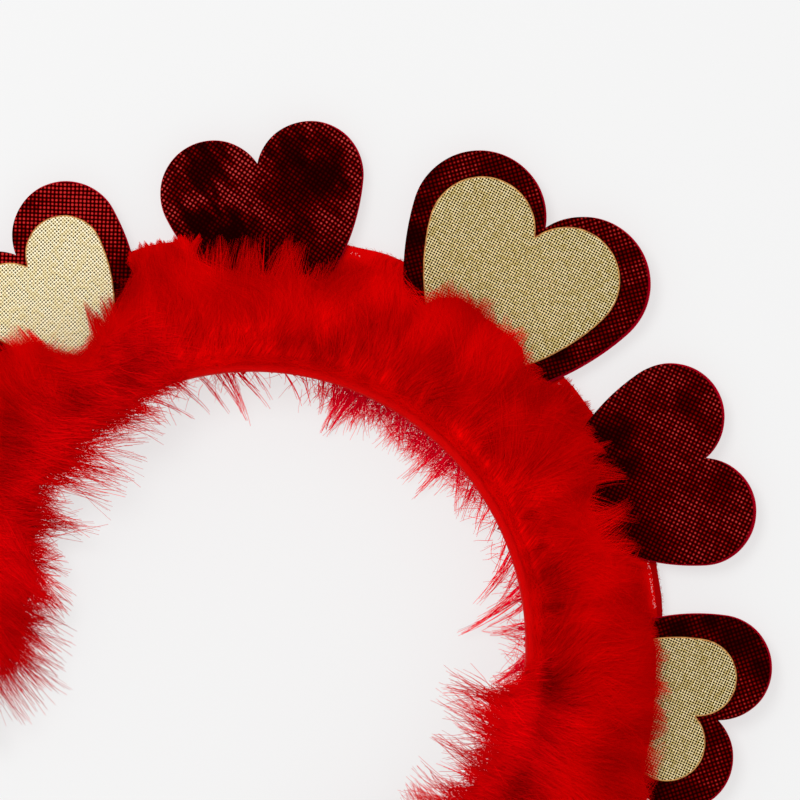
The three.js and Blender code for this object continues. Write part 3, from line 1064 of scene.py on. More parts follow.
    def cut(self, outline: Array, number: int, phase: int) -> Array:
        """Give an outline the small unevenness of a cut by hand.

        Args:
            outline: Points round the outline.
            number: The heart's number.
            phase: Where the unevenness starts.

        Returns:
            The points after the cut.
        """
        turn = np.linspace(0, 2 * math.pi, len(outline), endpoint=False)
        start = number * self.wobble_phase
        uneven = sum(np.sin(turn * wave + start + phase * wave) / wave for wave in self.wobble_waves)
        return outline - self.inward(outline) * (uneven * self.wobble)[:, None]

    @staticmethod
    def inward(outline: Array) -> Array:
        """Return the inward normal at each point of an anticlockwise outline."""
        along = unit(np.roll(outline, -1, 0) - np.roll(outline, 1, 0))
        return np.stack([-along[:, 1], along[:, 0]], axis=1)

    def set_down(self, flat: Array, row: HeartRow, height: float, number: int, shift: Span) -> Array:
        """Turn a ring of a heart and move it to its place, with the waves of its cloth.

        Args:
            flat: Points of the ring in the heart's own plane.
            row: The heart's place.
            height: The ring's height.
            number: The heart's number, which sets the waves.
            shift: How far the ring sits to one side.

        Returns:
            Places in metres.
        """
        lean = math.radians(row.lean)
        across = np.array([math.cos(lean), -math.sin(lean)])
        up = np.array([math.sin(lean), math.cos(lean)])
        place = np.zeros((len(flat), 3))
        place[:, :2] = (flat[:, :1] * across + flat[:, 1:] * up + np.array(shift)) * MM
        place += self.arch.at(row.angle, row.radius, height)
        far = smooth(self.arch.polar(place)[1], *self.wave_from)
        x, y = (place[:, :2] / MM).T
        long_x, long_y, long_slant = self.wave_lengths
        start_x, start_y = (number * phase for phase in self.wave_phases)
        waves = np.sin(x / long_x + start_x) + np.sin(y / long_y + start_y) + np.sin((x - y) / long_slant)
        place[:, 2] += far * waves * self.wave * MM
        return place


@dataclass(frozen=True)
class Ripple:
    """One wave of a cut edge: how far it swings, the degrees to a radian of it, and where it starts."""

    swing: float
    degrees: float
    start: float

    def at(self, angle: Array) -> Array:
        """Return the swing at these angles."""
        return self.swing * np.sin(angle / self.degrees + self.start)


@dataclass
class FeltArch:
    """The half ring of felt behind the hearts, with loose fibres on its cut edge."""

    arch: Arch
    inside: float = 67.9
    outside: float = 98.1
    narrowing: float = 18.4
    full_angle: float = 74.0
    end_angle: float = 130.0
    ripples: tuple[Ripple, ...] = (Ripple(0.18, 3.1, 0.0), Ripple(0.12, 1.3, 1.0))
    edge_round: float = 0.45
    stations: int = 260
    rings: int = 9
    layer_edge: float = 96.7
    layer_span: Span = (41.0, 56.0)
    fibres: int = 1500
    fibre_length: float = 0.7
    fibre_width: float = 0.07
    fibre_lowest: float = 0.3
    fibre_shortest: float = 0.3
    fibre_shortness: float = 1.5
    fibre_root: float = 0.2
    fibre_lean: float = 0.5
    fibre_rise: float = 0.4
    fibre_bend: float = 0.08
    fibre_tones: Span = (0.45, 0.8)
    seed: int = 11

    def reach(self, angle: Array) -> Array:
        """Return the felt's outer radius at these angles, with the unevenness of its cut."""
        narrowed = self.narrowing * smooth(np.abs(angle), self.full_angle, self.end_angle)
        return self.outside - narrowed + sum(ripple.at(angle) for ripple in self.ripples)

    def build(self) -> None:
        """Build the felt and the fibres that stand out of its edge."""
        low, high = level("felt_arch", top=False), level("felt_arch", top=True)
        finish = FeltFinish(edge_from=self.layer_edge).material("arch_felt")
        angles = np.linspace(-self.end_angle, self.end_angle, self.stations)
        outside = self.reach(angles)
        soft = self.edge_round
        share = np.linspace(0, 1, self.rings)
        upper = self.inside + soft + share[None] * (outside[:, None] - self.inside - 2 * soft)
        outer = np.repeat(outside[:, None], 2, axis=1)
        inner = np.full((self.stations, 2), self.inside)
        radii = np.concatenate([upper, outer, upper[:, ::-1], inner], axis=1)
        upper_heights, lower_heights = np.full(self.rings, high), np.full(self.rings, low)
        sides = np.array([high - soft, low + soft])
        heights = np.concatenate([upper_heights, sides, lower_heights, sides[::-1]])
        sections = self.arch.at(angles[:, None], radii, heights[None])
        data = loft(sections)
        angle, radius = self.arch.polar(data.points)
        layered = (angle > self.layer_span[0]) & (angle < self.layer_span[1])
        data.numbers["outward"] = np.where(layered, radius, 0)
        piece = data.piece("felt_arch_cloth", Slot.FELT, [finish])
        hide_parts("felt_arch")
        area = np.mean(outside**2 - self.inside**2) * math.radians(self.end_angle) * MM * MM
        width, depth = ((np.ptp(sections.reshape(-1, 3)[:, axis])) for axis in (0, 1))
        self.build_fibres(low, high)

    def build_fibres(self, low: float, high: float) -> None:
        """Build short fibres that stand out of the felt's outer edge.

        Args:
            low: The height of the felt's underside.
            high: The height of its top.
        """
        draw = default_rng(self.seed)
        count = self.fibres
        angle = draw.uniform(-self.end_angle, self.end_angle, count)
        height = draw.uniform(low + self.fibre_lowest, high, count)
        length = self.fibre_length * draw.uniform(self.fibre_shortest, 1.0, count) ** self.fibre_shortness
        root = self.arch.at(angle, self.reach(angle) - self.fibre_root, height)
        tip_angle = angle + draw.normal(0, self.fibre_lean, count)
        tip_height = height + draw.normal(0, self.fibre_rise, count)
        tip = self.arch.at(tip_angle, self.reach(angle) + length, tip_height)
        middle = (root + tip) / 2 + draw.normal(0, self.fibre_bend * MM, root.shape)
        line = np.stack([root, middle, tip], axis=1)
        tones = np.repeat(draw.uniform(*self.fibre_tones, (count, 1)), line.shape[1], axis=1)
        hair = Hair(line, tones, UP, draw)
        finish = FurFinish().material("felt_fibre")
        hair.mesh(self.fibre_width).piece("felt_arch_fibres", Slot.FELT, [finish])


@dataclass
class Hair:
    """Many hairs as flat ribbons: their centre lines, the tone of each point and the way that they face.

    Each hair has a cell of its own in the map for baking, and its ribbon covers a part of the cell.
    """

    lines: Array
    tones: Array
    facing: Array
    draw: Draw
    tip_width: float = 0.3
    taper: float = 1.5
    twist: float = 0.9
    ruffle: float = 0.12
    cell_sides: Span = (0.15, 0.85)
    cell_ends: Span = (0.1, 0.9)

    def mesh(self, width: float) -> MeshData:
        """Make the ribbons.

        Args:
            width: Their width at the root in millimetres.

        Returns:
            The mesh, which carries its tone and its map for baking.
        """
        count, steps, _ = self.lines.shape
        along = unit(np.gradient(self.lines, axis=1))
        side = unit(np.cross(along, np.broadcast_to(UP, along.shape)))
        lift = np.cross(side, along)
        turn = self.draw.uniform(-self.twist, self.twist, (count, 1, 1))
        broad = side * np.cos(turn) + lift * np.sin(turn)
        share = np.linspace(0, 1, steps)
        half = width * MM / 2 * (1 - (1 - self.tip_width) * share**self.taper)
        offset = broad * half[:, None]
        ribbons = np.stack([self.lines - offset, self.lines + offset], axis=2)
        first = np.arange(count)[:, None] * steps * 2 + np.arange(steps - 1)[None] * 2
        faces = np.stack([first, first + 1, first + 3, first + 2], axis=-1).reshape(-1, 4)
        ruffle = self.draw.normal(0, self.ruffle, (count, 1, 3))
        normals = unit(np.broadcast_to(self.facing, self.lines.shape) + ruffle)
        return MeshData(
            ribbons.reshape(-1, 3),
            faces,
            numbers={"tone": np.repeat(np.clip(self.tones, 0, 1).ravel(), 2)},
            uv=self.bake_map(count, share),
            normals=np.repeat(normals.reshape(-1, 3), 2, axis=0),
        )

    def bake_map(self, count: int, share: Array) -> Array:
        """Give every hair a cell of its own.

        Args:
            count: How many hairs there are.
            share: How far along its hair each point is.

        Returns:
            Rows of map coordinates, for both sides of each point.
        """
        columns = math.ceil(math.sqrt(count))
        cell = np.arange(count)
        first, last = self.cell_ends
        u = (cell % columns)[:, None, None] + np.array(self.cell_sides)[None, None]
        v = (cell // columns)[:, None, None] + first + (last - first) * share[None, :, None]
        return np.stack(np.broadcast_arrays(u, v), axis=-1).reshape(-1, 2) / columns


@dataclass(frozen=True)
class Wave:
    """Small waves of hairs, which grow from root to tip.

    A tip swings aside by a size in millimetres, along a wave of some radians, and rises by a share of that.
    """

    size: float = 0.5
    turn: float = 3.6
    own: float = 0.35
    rise: float = 0.4
    rise_turn: float = 4.1
    rise_phase: float = 1.7

    def along(self, draw: Draw, lines: Array, phase: Array) -> Array:
        """Make the waves of hairs.

        Args:
            draw: Random numbers.
            lines: The hairs' centre lines.
            phase: Where each hair's wave starts; hairs of one phase wave together.

        Returns:
            The centre lines with their waves.
        """
        count, steps, _ = lines.shape
        t = np.linspace(0, 1, steps)[None, :]
        own = draw.normal(0, self.own, (count, 1))
        swing = np.sin(phase[:, None] + t * self.turn + own) * t * self.size
        rise = np.cos(self.rise_phase * phase[:, None] + t * self.rise_turn + own) * t * self.size * self.rise
        along = lines[:, -1] - lines[:, 0]
        side = unit(np.stack([-along[:, 1], along[:, 0], np.zeros(count)], axis=1))
        return lines + (swing[..., None] * side[:, None] + rise[..., None] * UP) * MM


@dataclass
class Strands:
    """Where hairs grow: the angle and the radius of each root and tip, and how far each is lifted."""

    root_angle: Array
    root: Array
    tip_angle: Array
    tip: Array
    lift: Array

    def path(self, steps: int, late_turn: float) -> tuple[Array, Array, Array]:
        """Follow each hair from root to tip.

        Args:
            steps: How many points it has.
            late_turn: How late it turns aside: 1 for evenly, more for nearer to its tip.

        Returns:
            How far along each point is, and its angle and radius.
        """
        t = np.linspace(0, 1, steps)[None]
        angle = self.root_angle[:, None] + (self.tip_angle - self.root_angle)[:, None] * t**late_turn
        return t, angle, self.root[:, None] + (self.tip - self.root)[:, None] * t


def bend(first: Array, middle: Array, last: Array, steps: int) -> Array:
    """Return curves with steps points each, from first to last, drawn towards middle."""
    t = np.linspace(0, 1, steps)[None, :, None]
    return first[:, None] * (1 - t) ** 2 + middle[:, None] * 2 * t * (1 - t) + last[:, None] * t * t


@dataclass(frozen=True)
class Profile:
    """One point of the fur's section: its share of the way outwards, and its share of the crest's height."""

    outward: float
    height: float


@dataclass(frozen=True)
class Reach:
    """The fur at one angle: the reach of its dense part and its tips, its painted shade in the valley by the
    band, and its shade.
    """

    angle: float
    dense: float
    tips: float
    valley_shade: float
    shade: float = 0.0


@dataclass(frozen=True)
class FurSurface:
    """The shape that the front fur is combed to, and the tone of its colour from place to place."""

    arch: Arch
    hearts: Sequence[HeartRow]
    inside: float = 67.7
    crest_rise: float = 0.1
    narrow_from: float = 84.0
    narrow_share: float = 0.52
    end_angle: float = 130.0
    clearance: float = 0.5
    heart_length: float = 0.72
    heart_roundness: float = 0.7
    heart_blur: float = 2.5
    parting: float = 1.3
    parting_opens: Span = (-5.0, 12.0)
    parting_closes: Span = (34.0, 56.0)
    mean_tone: float = 0.7
    # Painted shade in the valley where the fur meets the band.
    valley_shade_start: Span = (68.2, 70.2)
    valley_shade_end: Span = (0.1, 0.5)
    broad_patches: Mottle = Mottle(0.18, 7.0, 9.0)
    close_patches: Mottle = Mottle(0.12, 2.2, 7.0)
    profile: tuple[Profile, ...] = (
        Profile(0, 0.99),
        Profile(0.1, 0.99),
        Profile(0.25, 1),
        Profile(0.4, 1),
        Profile(0.55, 0.92),
        Profile(0.7, 0.73),
        Profile(0.85, 0.41),
        Profile(1, 0.06),
        Profile(1.2, 0),
    )
    rows: tuple[Reach, ...] = (
        Reach(-131, 90, 97, 0.05, 0.1),
        Reach(-100, 90, 97, 0.08, 0.12),
        Reach(-85, 90, 97, 0.1, 0.14),
        Reach(-75, 92, 98, 0.08, 0.12),
        Reach(-71, 89.5, 95, 0.08, 0.1),
        Reach(-68, 82.5, 87.5, 0.08, 0.1),
        Reach(-65, 78.5, 82, 0.08, 0.1),
        Reach(-61.8, 79.5, 83.5, 0.08, 0.08),
        Reach(-60, 82.5, 91.5, 0.08, 0.08),
        Reach(-57.6, 82.5, 91, 0.08, 0.08),
        Reach(-56.6, 82.5, 86, 0.08, 0.07),
        Reach(-55, 84.5, 87.5, 0.08, 0.06),
        Reach(-53, 90, 92.5, 0.08, 0.05),
        Reach(-50, 96.5, 101, 0.05, 0.04),
        Reach(-46, 97, 101, 0.05, 0.04),
        Reach(-42, 88, 98.5, 0.06),
        Reach(-33, 88, 98.5, 0.12),
        Reach(-24, 88, 98.5, 0.16),
        Reach(-19, 93, 96.5, 0.16),
        Reach(-13, 95.5, 99.5, 0.16),
        Reach(-11, 91.5, 94.5, 0.16),
        Reach(-8.5, 88.5, 91.5, 0.16),
        Reach(-6, 94, 99, 0.17),
        Reach(-3.5, 96.3, 102.5, 0.18),
        Reach(1, 95.5, 101, 0.19),
        Reach(8, 95.5, 99, 0.2),
        Reach(10.5, 91.5, 95, 0.2),
        Reach(13, 93, 96, 0.2),
        Reach(17, 94, 97, 0.22),
        Reach(22, 94, 97, 0.24),
        Reach(25, 94.5, 98.5, 0.26),
        Reach(29, 90.5, 99, 0.28),
        Reach(33, 85.5, 99, 0.3),
        Reach(38, 85, 99, 0.32),
        Reach(41, 89, 97.5, 0.34),
        Reach(46, 93.5, 95.5, 0.36),
        Reach(50, 93, 97, 0.36),
        Reach(56, 96, 99.5, 0.38),
        Reach(63, 96.5, 101, 0.36),
        Reach(72, 97.5, 102.5, 0.28),
        Reach(75, 98.5, 103, 0.22),
        Reach(77, 101, 105, 0.2),
        Reach(84, 101, 105, 0.18),
        Reach(131, 90, 97, 0.1),
    )
    seed: int = 5

    def column(self, name: str, angle: Numbers) -> Array:
        """Return a column of the table of reaches at these angles."""
        return read_rows(self.rows, "angle", name, angle)

    def parted(self, angle: Numbers) -> Array:
        """Return how far the hairs keep off the band at these angles, where the fur is parted from it."""
        return self.parting * smooth(angle, *self.parting_opens) * (1 - smooth(angle, *self.parting_closes))

    def narrow(self, angle: Numbers) -> Array:
        """Return how wide the fur is, as a share of its width at the crown."""
        return 1 - self.narrow_share * smooth(np.abs(angle), self.narrow_from, self.end_angle)

    def outward(self, angle: Numbers, radius: Numbers) -> Array:
        """Return how far out a place is: 0 at the band and 1 where the dense fur ends."""
        width = (self.column("dense", angle) - self.inside) * self.narrow(angle)
        return (radius - self.inside) / width

    def radius(self, angle: Numbers, outward: Numbers) -> Array:
        """Return the radius of a place this far out."""
        return self.inside + outward * (self.column("dense", angle) - self.inside) * self.narrow(angle)

    def tips(self, angle: Numbers) -> Array:
        """Return the radius that the tips of the outermost locks reach."""
        return self.inside + (self.column("tips", angle) - self.inside) * self.narrow(angle)

    def rest(self, angle: Numbers, radius: Numbers) -> Array:
        """Find the height of what lies under the fur: the felt, or a heart.

        Args:
            angle: Degrees from the crown.
            radius: Millimetres from the arc's centre.

        Returns:
            Heights above the floor in millimetres.
        """
        felt, gold = level("felt_arch", top=True), level("heart_3_gold", top=True)
        height = np.full(np.broadcast_shapes(np.shape(angle), np.shape(radius)), felt)
        for row in self.hearts:
            share = np.clip(1 - (row.radius - radius) / (self.heart_length * row.width), 0, 1)
            half = np.degrees(0.5 * row.width * share**self.heart_roundness / radius)
            over = 1 - smooth(np.abs(angle - row.angle), half, half + self.heart_blur)
            height = np.maximum(height, felt + over * (gold - felt))
        return height

    def band_top(self, angle: Numbers) -> Array:
        """Return the height of the band's front edge, which comes down towards the tips."""
        low, high = level("band", top=False), level("band", top=True)
        return (low + high) / 2 + (high - low) / 2 * self.arch.taper(angle)

    def top(self, angle: Numbers, radius: Numbers) -> Array:
        """Find the height that the fur is combed to.

        Args:
            angle: Degrees from the crown.
            radius: Millimetres from the arc's centre.

        Returns:
            Heights above the floor in millimetres.
        """
        share = read_rows(self.profile, "outward", "height", self.outward(angle, radius))
        crest = self.band_top(angle) + self.crest_rise
        low = self.rest(angle, radius) + self.clearance
        return low + (crest - low) * share

    def tone(self, angle: Numbers, radius: Numbers) -> Array:
        """Find the fur's tone, from soft patches and the painted shade of the valley by the band.

        Args:
            angle: Degrees from the crown.
            radius: Millimetres from the arc's centre.

        Returns:
            Tones, most of them between 0 and 1.
        """
        draw = default_rng(self.seed)
        # Painted shade: the fur is darker in the valley where it meets the band.
        valley_shade = self.column("valley_shade", angle) * smooth(radius - self.parted(angle), *self.valley_shade_start)
        valley_shade = valley_shade * (1 - smooth(self.outward(angle, radius), *self.valley_shade_end))
        patches = sum(
            mottle.at(Patches(draw), angle, radius) for mottle in (self.broad_patches, self.close_patches)
        )
        return self.mean_tone + patches - valley_shade - self.column("shade", angle)

    def facing(self, angle: Array, outward: float) -> Array:
        """Return the way that hairs at these angles face: upwards, leaning outwards by a share."""
        x, y = outward * np.sin(np.radians(angle)), outward * np.cos(np.radians(angle))
        return unit(np.stack([x, y, np.ones_like(x)], axis=-1))[:, None]


@dataclass(frozen=True)
class Lock:
    """One set of locks at the fur's outer edge.

    Each has a number of hairs over an angle to both sides, of which a share is left at its tip. The shortest
    reach this share of the way to the table's tips, and lean is how far they turn aside, in degrees.
    """

    locks: int
    hairs: int
    spread: float
    tip_share: float
    shortest: float
    lean: float


@dataclass(frozen=True)
class Fringe:
    """A stretch of the fur's edge with small tufts, between two angles, from a radius to a span of radii.

    Each tuft's hairs spread over an angle to both sides, and end short of its reach by about its softness.
    """

    start: float
    end: float
    tufts: int
    hairs: int
    root: float
    reach: Span
    spread: float = 0.36
    softness: float = 0.7


@dataclass
class FrontFur:
    """The deep fur along the front: a dense pile, hairs combed over it, and locks at its outer edge.

    Roots are given as shares of the way outwards, and lifts as a mean and a spread or as a span.
    """

    surface: FurSurface
    stations: int = 640
    rings: int = 22
    clumps: Mottle = Mottle(0.45, 1.6, 4.0)
    clump_start: Span = (0.0, 0.1)
    clump_end: Span = (0.8, 1.0)
    end_margin: float = 1.0
    end_close: float = 0.7
    end_close_span: float = 7.0
    pile_gap: float = 0.2
    pile_thickness: float = 0.15
    hairs: int = 35500
    hair_width: float = 0.1
    hair_length: float = 18.0
    hair_lengths: Span = (0.6, 1.25)
    hair_roots: Span = (0.0, 0.9)
    hair_lift: Span = (0.2, 0.7)
    hair_over: float = 1.5
    hair_short: float = 4.0
    hair_wave: Wave = Wave(0.5)
    swirls: Mottle = Mottle(52.0, 7.0, 10.0)
    stray: float = 9.0
    leg_from: float = 112.0
    leg_sweep: float = 0.9
    streaks: Mottle = Mottle(0.1, 0.9, 12.0)
    curls: Mottle = Mottle(6.0, 1.5, 5.0)
    lock_rows: tuple[Lock, ...] = (
        Lock(70, 170, 2.4, 0.3, 0.5, 2.6),
        Lock(200, 60, 1.5, 0.6, 0.2, 2.2),
    )
    lock_width: float = 0.075
    lock_margin: float = 2.0
    lock_uneven: float = 0.2
    lock_longest: float = 1.05
    lock_spread: float = 0.55
    lock_roots: Span = (0.5, 0.98)
    lock_sunk: float = 1.0
    lock_least: float = 2.0
    lock_lift: Span = (0.3, 0.8)
    lock_curl: float = 3.0
    lock_wave: Wave = Wave(0.35)
    fringe_rows: tuple[Fringe, ...] = (
        Fringe(-70.8, -69.4, 3, 50, 84, (91, 95.5), 0.5, 2.2),
        Fringe(-61.2, -57.4, 5, 85, 78, (86.5, 92.5), 0.6, 3.2),
        Fringe(-51.6, -43, 34, 80, 92, (97.2, 100)),
        Fringe(-17, -13.4, 9, 12, 92, (97.6, 99.2)),
        Fringe(15.4, 20.5, 15, 20, 93, (98, 99.6)),
    )
    fringe_uneven: float = 0.15
    fringe_lean: float = 0.6
    fringe_roots: float = 4.0
    fringe_point: float = 1.5
    fringe_least: float = 1.0
    fringe_closing: float = 0.5
    fringe_lift: Span = (0.2, 1.0)
    brim_hairs: int = 7000
    brim_roots: Span = (0.0, 0.12)
    brim_lean: float = 4.5
    brim_over: float = 0.9
    brim_parted: float = 0.55
    brim_lift: Span = (0.6, 1.2)
    end_hairs: int = 2600
    end_roots: Span = (0.5, 6.0)
    end_rises: Span = (0.0, 0.9)
    end_reach: Span = (1.0, 8.0)
    end_stray: float = 1.0
    end_fall: Span = (0.3, 0.9)
    end_lowest: float = 0.4
    end_arching: float = 0.4
    end_tone: Span = (0.6, 0.1)
    facing: float = 0.3
    late_turn: float = 1.3
    arching: float = 2.4
    sunk: float = 0.5
    own_tone: float = 0.08
    tip_tone: float = 0.04
    steps: int = 5
    pieces: int = 4
    seed: int = 3

    def build(self) -> None:
        """Build the pile, the hairs over it and the locks at its edge."""
        self.build_pile()
        self.build_hairs()
        for number, row in enumerate(self.lock_rows):
            self.build_locks(row, number)
        for number, row in enumerate(self.fringe_rows):
            self.build_fringe(row, number)
        self.build_brim()
        self.build_ends()

    def build_pile(self) -> None:
        """Build the dense pile as one closed skin."""
        surface = self.surface
        clumps = Patches(default_rng(self.seed))
        end = surface.end_angle - self.end_margin
        angle = np.linspace(-end, end, self.stations)[:, None]
        close = 1 - smooth(np.abs(angle), end - self.end_close_span, end) * self.end_close
        outward = np.linspace(0, 1, self.rings)[None]
        radius = surface.radius(angle, outward)
        clumped = smooth(outward, *self.clump_start) * (1 - smooth(outward, *self.clump_end))
        height = surface.top(angle, radius) + self.clumps.at(clumps, angle, radius) * clumped
        low = surface.rest(angle, radius) + self.pile_gap
        height = np.maximum(low + (height - low) * close, low + self.pile_thickness)
        radii = np.concatenate([radius, radius[:, ::-1]], axis=1)
        heights = np.concatenate([height, low[:, ::-1]], axis=1)
        data = fur_skin(surface.arch, angle, radii, heights, surface.tone(angle, radii))
        piece = data.piece("fur_front_pile", Slot.FUR, [PileFinish().material("front_pile")])
        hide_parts("fur_front")

    def build_hairs(self) -> None:
        """Build hairs all over the pile, combed outwards in soft swirls."""
        surface, count = self.surface, self.hairs
        draw = default_rng(self.seed + 1)
        swirls = Patches(draw)
        angle = np.sort(draw.uniform(-surface.end_angle, surface.end_angle, count))
        outward = draw.uniform(*self.hair_roots, count)
        root = surface.radius(angle, outward) + surface.parted(angle) * (1 - outward)
        length = self.hair_length * draw.uniform(*self.hair_lengths, count) * surface.narrow(angle)
        lean = np.radians(self.swirls.at(swirls, angle, root) + draw.normal(0, self.stray, count))
        lean += np.sign(angle) * smooth(np.abs(angle), self.leg_from, surface.end_angle) * self.leg_sweep
        tip_angle = angle + np.degrees(length * np.sin(lean) / root)
        most = surface.radius(tip_angle, 1.0) + self.hair_over - draw.uniform(0, self.hair_short, count)
        tip = np.minimum(root + length * np.cos(lean), most)
        lift = np.abs(draw.normal(*self.hair_lift, count))
        lines, tones = self.comb(draw, Strands(angle, root, tip_angle, tip, lift))
        tones += self.streaks.at(Patches(draw), angle, root)[:, None]
        lines = self.hair_wave.along(draw, lines, self.curls.at(swirls, angle, root))
        hair = Hair(lines, tones, surface.facing(angle, self.facing), draw)
        self.pieces_of_hair("fur_front_hair", hair, self.hair_width, self.pieces)

    def build_locks(self, row: Lock, number: int) -> None:
        """Build locks that reach out over the hearts from the pile's edge.

        Args:
            row: The set of locks.
            number: Its number, which sets its random numbers and its name.
        """
        surface = self.surface
        draw = default_rng(self.seed + 20 + number)
        end = surface.end_angle - self.lock_margin
        step = 2 * end / row.locks
        centre = np.linspace(-end, end, row.locks) + draw.normal(0, self.lock_uneven * step, row.locks)
        reach = draw.uniform(row.shortest, self.lock_longest, row.locks)
        lean = draw.normal(0, row.lean, row.locks)
        lock = np.repeat(np.arange(row.locks), row.hairs)
        count = len(lock)
        spread = draw.normal(0, self.lock_spread, count) * row.spread
        angle = np.clip(centre[lock] + spread, -surface.end_angle, surface.end_angle)
        root = surface.radius(angle, draw.uniform(*self.lock_roots, count))
        inner, tips = surface.radius(angle, 1.0) - self.lock_sunk, surface.tips(centre[lock])
        share = draw.uniform(0.0, 1.0, count)
        closing = 1 - (1 - row.tip_share) * share
        tip_angle = centre[lock] + lean[lock] * share + spread * closing
        tip = np.minimum(inner + (tips - inner) * reach[lock] * share, surface.tips(tip_angle))
        lift = np.abs(draw.normal(*self.lock_lift, count))
        strands = Strands(angle, root, tip_angle, np.maximum(tip, root + self.lock_least), lift)
        lines, tones = self.comb(draw, strands)
        lines = self.lock_wave.along(draw, lines, lean[lock] * self.lock_curl)
        hair = Hair(lines, tones, surface.facing(angle, self.facing), draw)
        self.pieces_of_hair(f"fur_front_locks_{number + 1}", hair, self.lock_width)

    def build_fringe(self, row: Fringe, number: int) -> None:
        """Build small tufts that stick out over the felt's edge.

        Args:
            row: The stretch of edge.
            number: Its number, which sets its random numbers and its name.
        """
        draw = default_rng(self.seed + 40 + number)
        centre = np.linspace(row.start, row.end, row.tufts) + draw.normal(0, self.fringe_uneven, row.tufts)
        reach = draw.uniform(*row.reach, row.tufts)
        lean = draw.normal(0, self.fringe_lean, row.tufts)
        tuft = np.repeat(np.arange(row.tufts), row.hairs)
        count = len(tuft)
        spread = draw.normal(0, row.spread, count)
        root = row.root + draw.uniform(0, self.fringe_roots, count)
        short = np.abs(draw.normal(0, row.softness, count)) + self.fringe_point * np.abs(spread)
        tip = np.maximum(reach[tuft] - short, root + self.fringe_least)
        tip_angle = centre[tuft] + lean[tuft] + self.fringe_closing * spread
        lift = draw.uniform(*self.fringe_lift, count)
        lines, tones = self.comb(draw, Strands(centre[tuft] + spread, root, tip_angle, tip, lift))
        hair = Hair(lines, tones, self.surface.facing(tip_angle, self.facing), draw)
        self.pieces_of_hair(f"fur_front_fringe_{number + 1}", hair, self.hair_width)

    def build_brim(self) -> None:
        """Build short hairs that lie over the outer side of the band's front edge."""
        surface, count = self.surface, self.brim_hairs
        draw = default_rng(self.seed + 3)
        angle = draw.uniform(-surface.end_angle, surface.end_angle, count)
        root = surface.radius(angle, draw.uniform(*self.brim_roots, count))
        turn = draw.normal(0, self.brim_lean, count)
        over = self.brim_over - self.brim_parted * surface.parted(angle) / surface.parting
        tip = surface.inside - np.abs(draw.normal(0, 1, count)) * over
        lift = draw.uniform(*self.brim_lift, count)
        lines, tones = self.comb(draw, Strands(angle, root, angle + turn, tip, lift))
        hair = Hair(lines, tones, surface.facing(angle, 0.0), draw)
        self.pieces_of_hair("fur_front_brim", hair, self.lock_width)

    def build_ends(self) -> None:
        """Build hairs that grow over both ends of the pile, down the legs."""
        surface, count = self.surface, self.end_hairs
        draw = default_rng(self.seed + 4)
        side = np.where(np.arange(count) % 2 == 0, -1.0, 1.0)
        angle = side * (surface.end_angle - draw.uniform(*self.end_roots, count))
        radius = surface.radius(angle, draw.uniform(0.0, 1.0, count))
        low = surface.rest(angle, radius)
        height = low + (surface.top(angle, radius) - low) * draw.uniform(*self.end_rises, count)
        tip_angle = side * (surface.end_angle + draw.uniform(*self.end_reach, count))
        tip_radius = radius + draw.normal(0, self.end_stray, count)
        tip_height = np.maximum(height * draw.uniform(*self.end_fall, count), self.end_lowest)
        place = surface.arch.at
        first, last = place(angle, radius, height), place(tip_angle, tip_radius, tip_height)
        middle = place((angle + tip_angle) / 2, (radius + tip_radius) / 2, height + self.end_arching)
        lines = bend(first, middle, last, self.steps)
        tones = np.repeat(draw.normal(*self.end_tone, (count, 1)), self.steps, axis=1)
        hair = Hair(lines, tones, surface.facing(angle, self.facing), draw)
        self.pieces_of_hair("fur_front_ends", hair, self.hair_width)

    def comb(self, draw: Draw, strands: Strands) -> tuple[Array, Array]:
        """Lay hairs along the fur's surface.

        Args:
            draw: Random numbers.
            strands: Where the hairs grow, and how far each tip rises off the surface.

        Returns:
            The hairs' centre lines, and the tone of each point.
        """
        t, angle, radius = strands.path(self.steps, self.late_turn)
        above = strands.lift[:, None] * t + self.arching * t * (1 - t) - self.sunk * (1 - t)
        own = draw.normal(0, self.own_tone, (len(strands.root), 1))
        tones = self.surface.tone(angle, radius) + own + self.tip_tone * t
        return self.surface.arch.at(angle, radius, self.surface.top(angle, radius) + above), tones

    @staticmethod
    def pieces_of_hair(name: str, hair: Hair, width: float, pieces: int = 1) -> None:
        """Make pieces of hairs, each with an equal share of them.

        Args:
            name: The start of the pieces' names.
            hair: The hairs.
            width: Their width at the root.
            pieces: How many pieces to make.
        """
        finish = FurFinish().material(name)
        for number, part in enumerate(np.array_split(np.arange(len(hair.lines)), pieces)):
            share = replace(hair, lines=hair.lines[part], tones=hair.tones[part], facing=hair.facing[part])
            share.mesh(width).piece(f"{name}_{number + 1}", Slot.FUR, [finish])


@dataclass(frozen=True)
class Hang:
    """The fur over one leg at one angle.

    Its dense part hangs in to a radius, and its points go on beyond that, leaning by some degrees.
    """

    angle: float
    radius: float
    point: float
    lean: float


@dataclass(frozen=True)
class Cover:
    """The top of the hanging fur at one radius outside the band's inner edge, above the band's front edge."""

    radius: float
    rise: float


@dataclass(frozen=True)
class Fall:
    """The top of the hanging fur at a share of the way in to its hem, and how thick it is there."""

    share: float
    rise: float
    thick: float


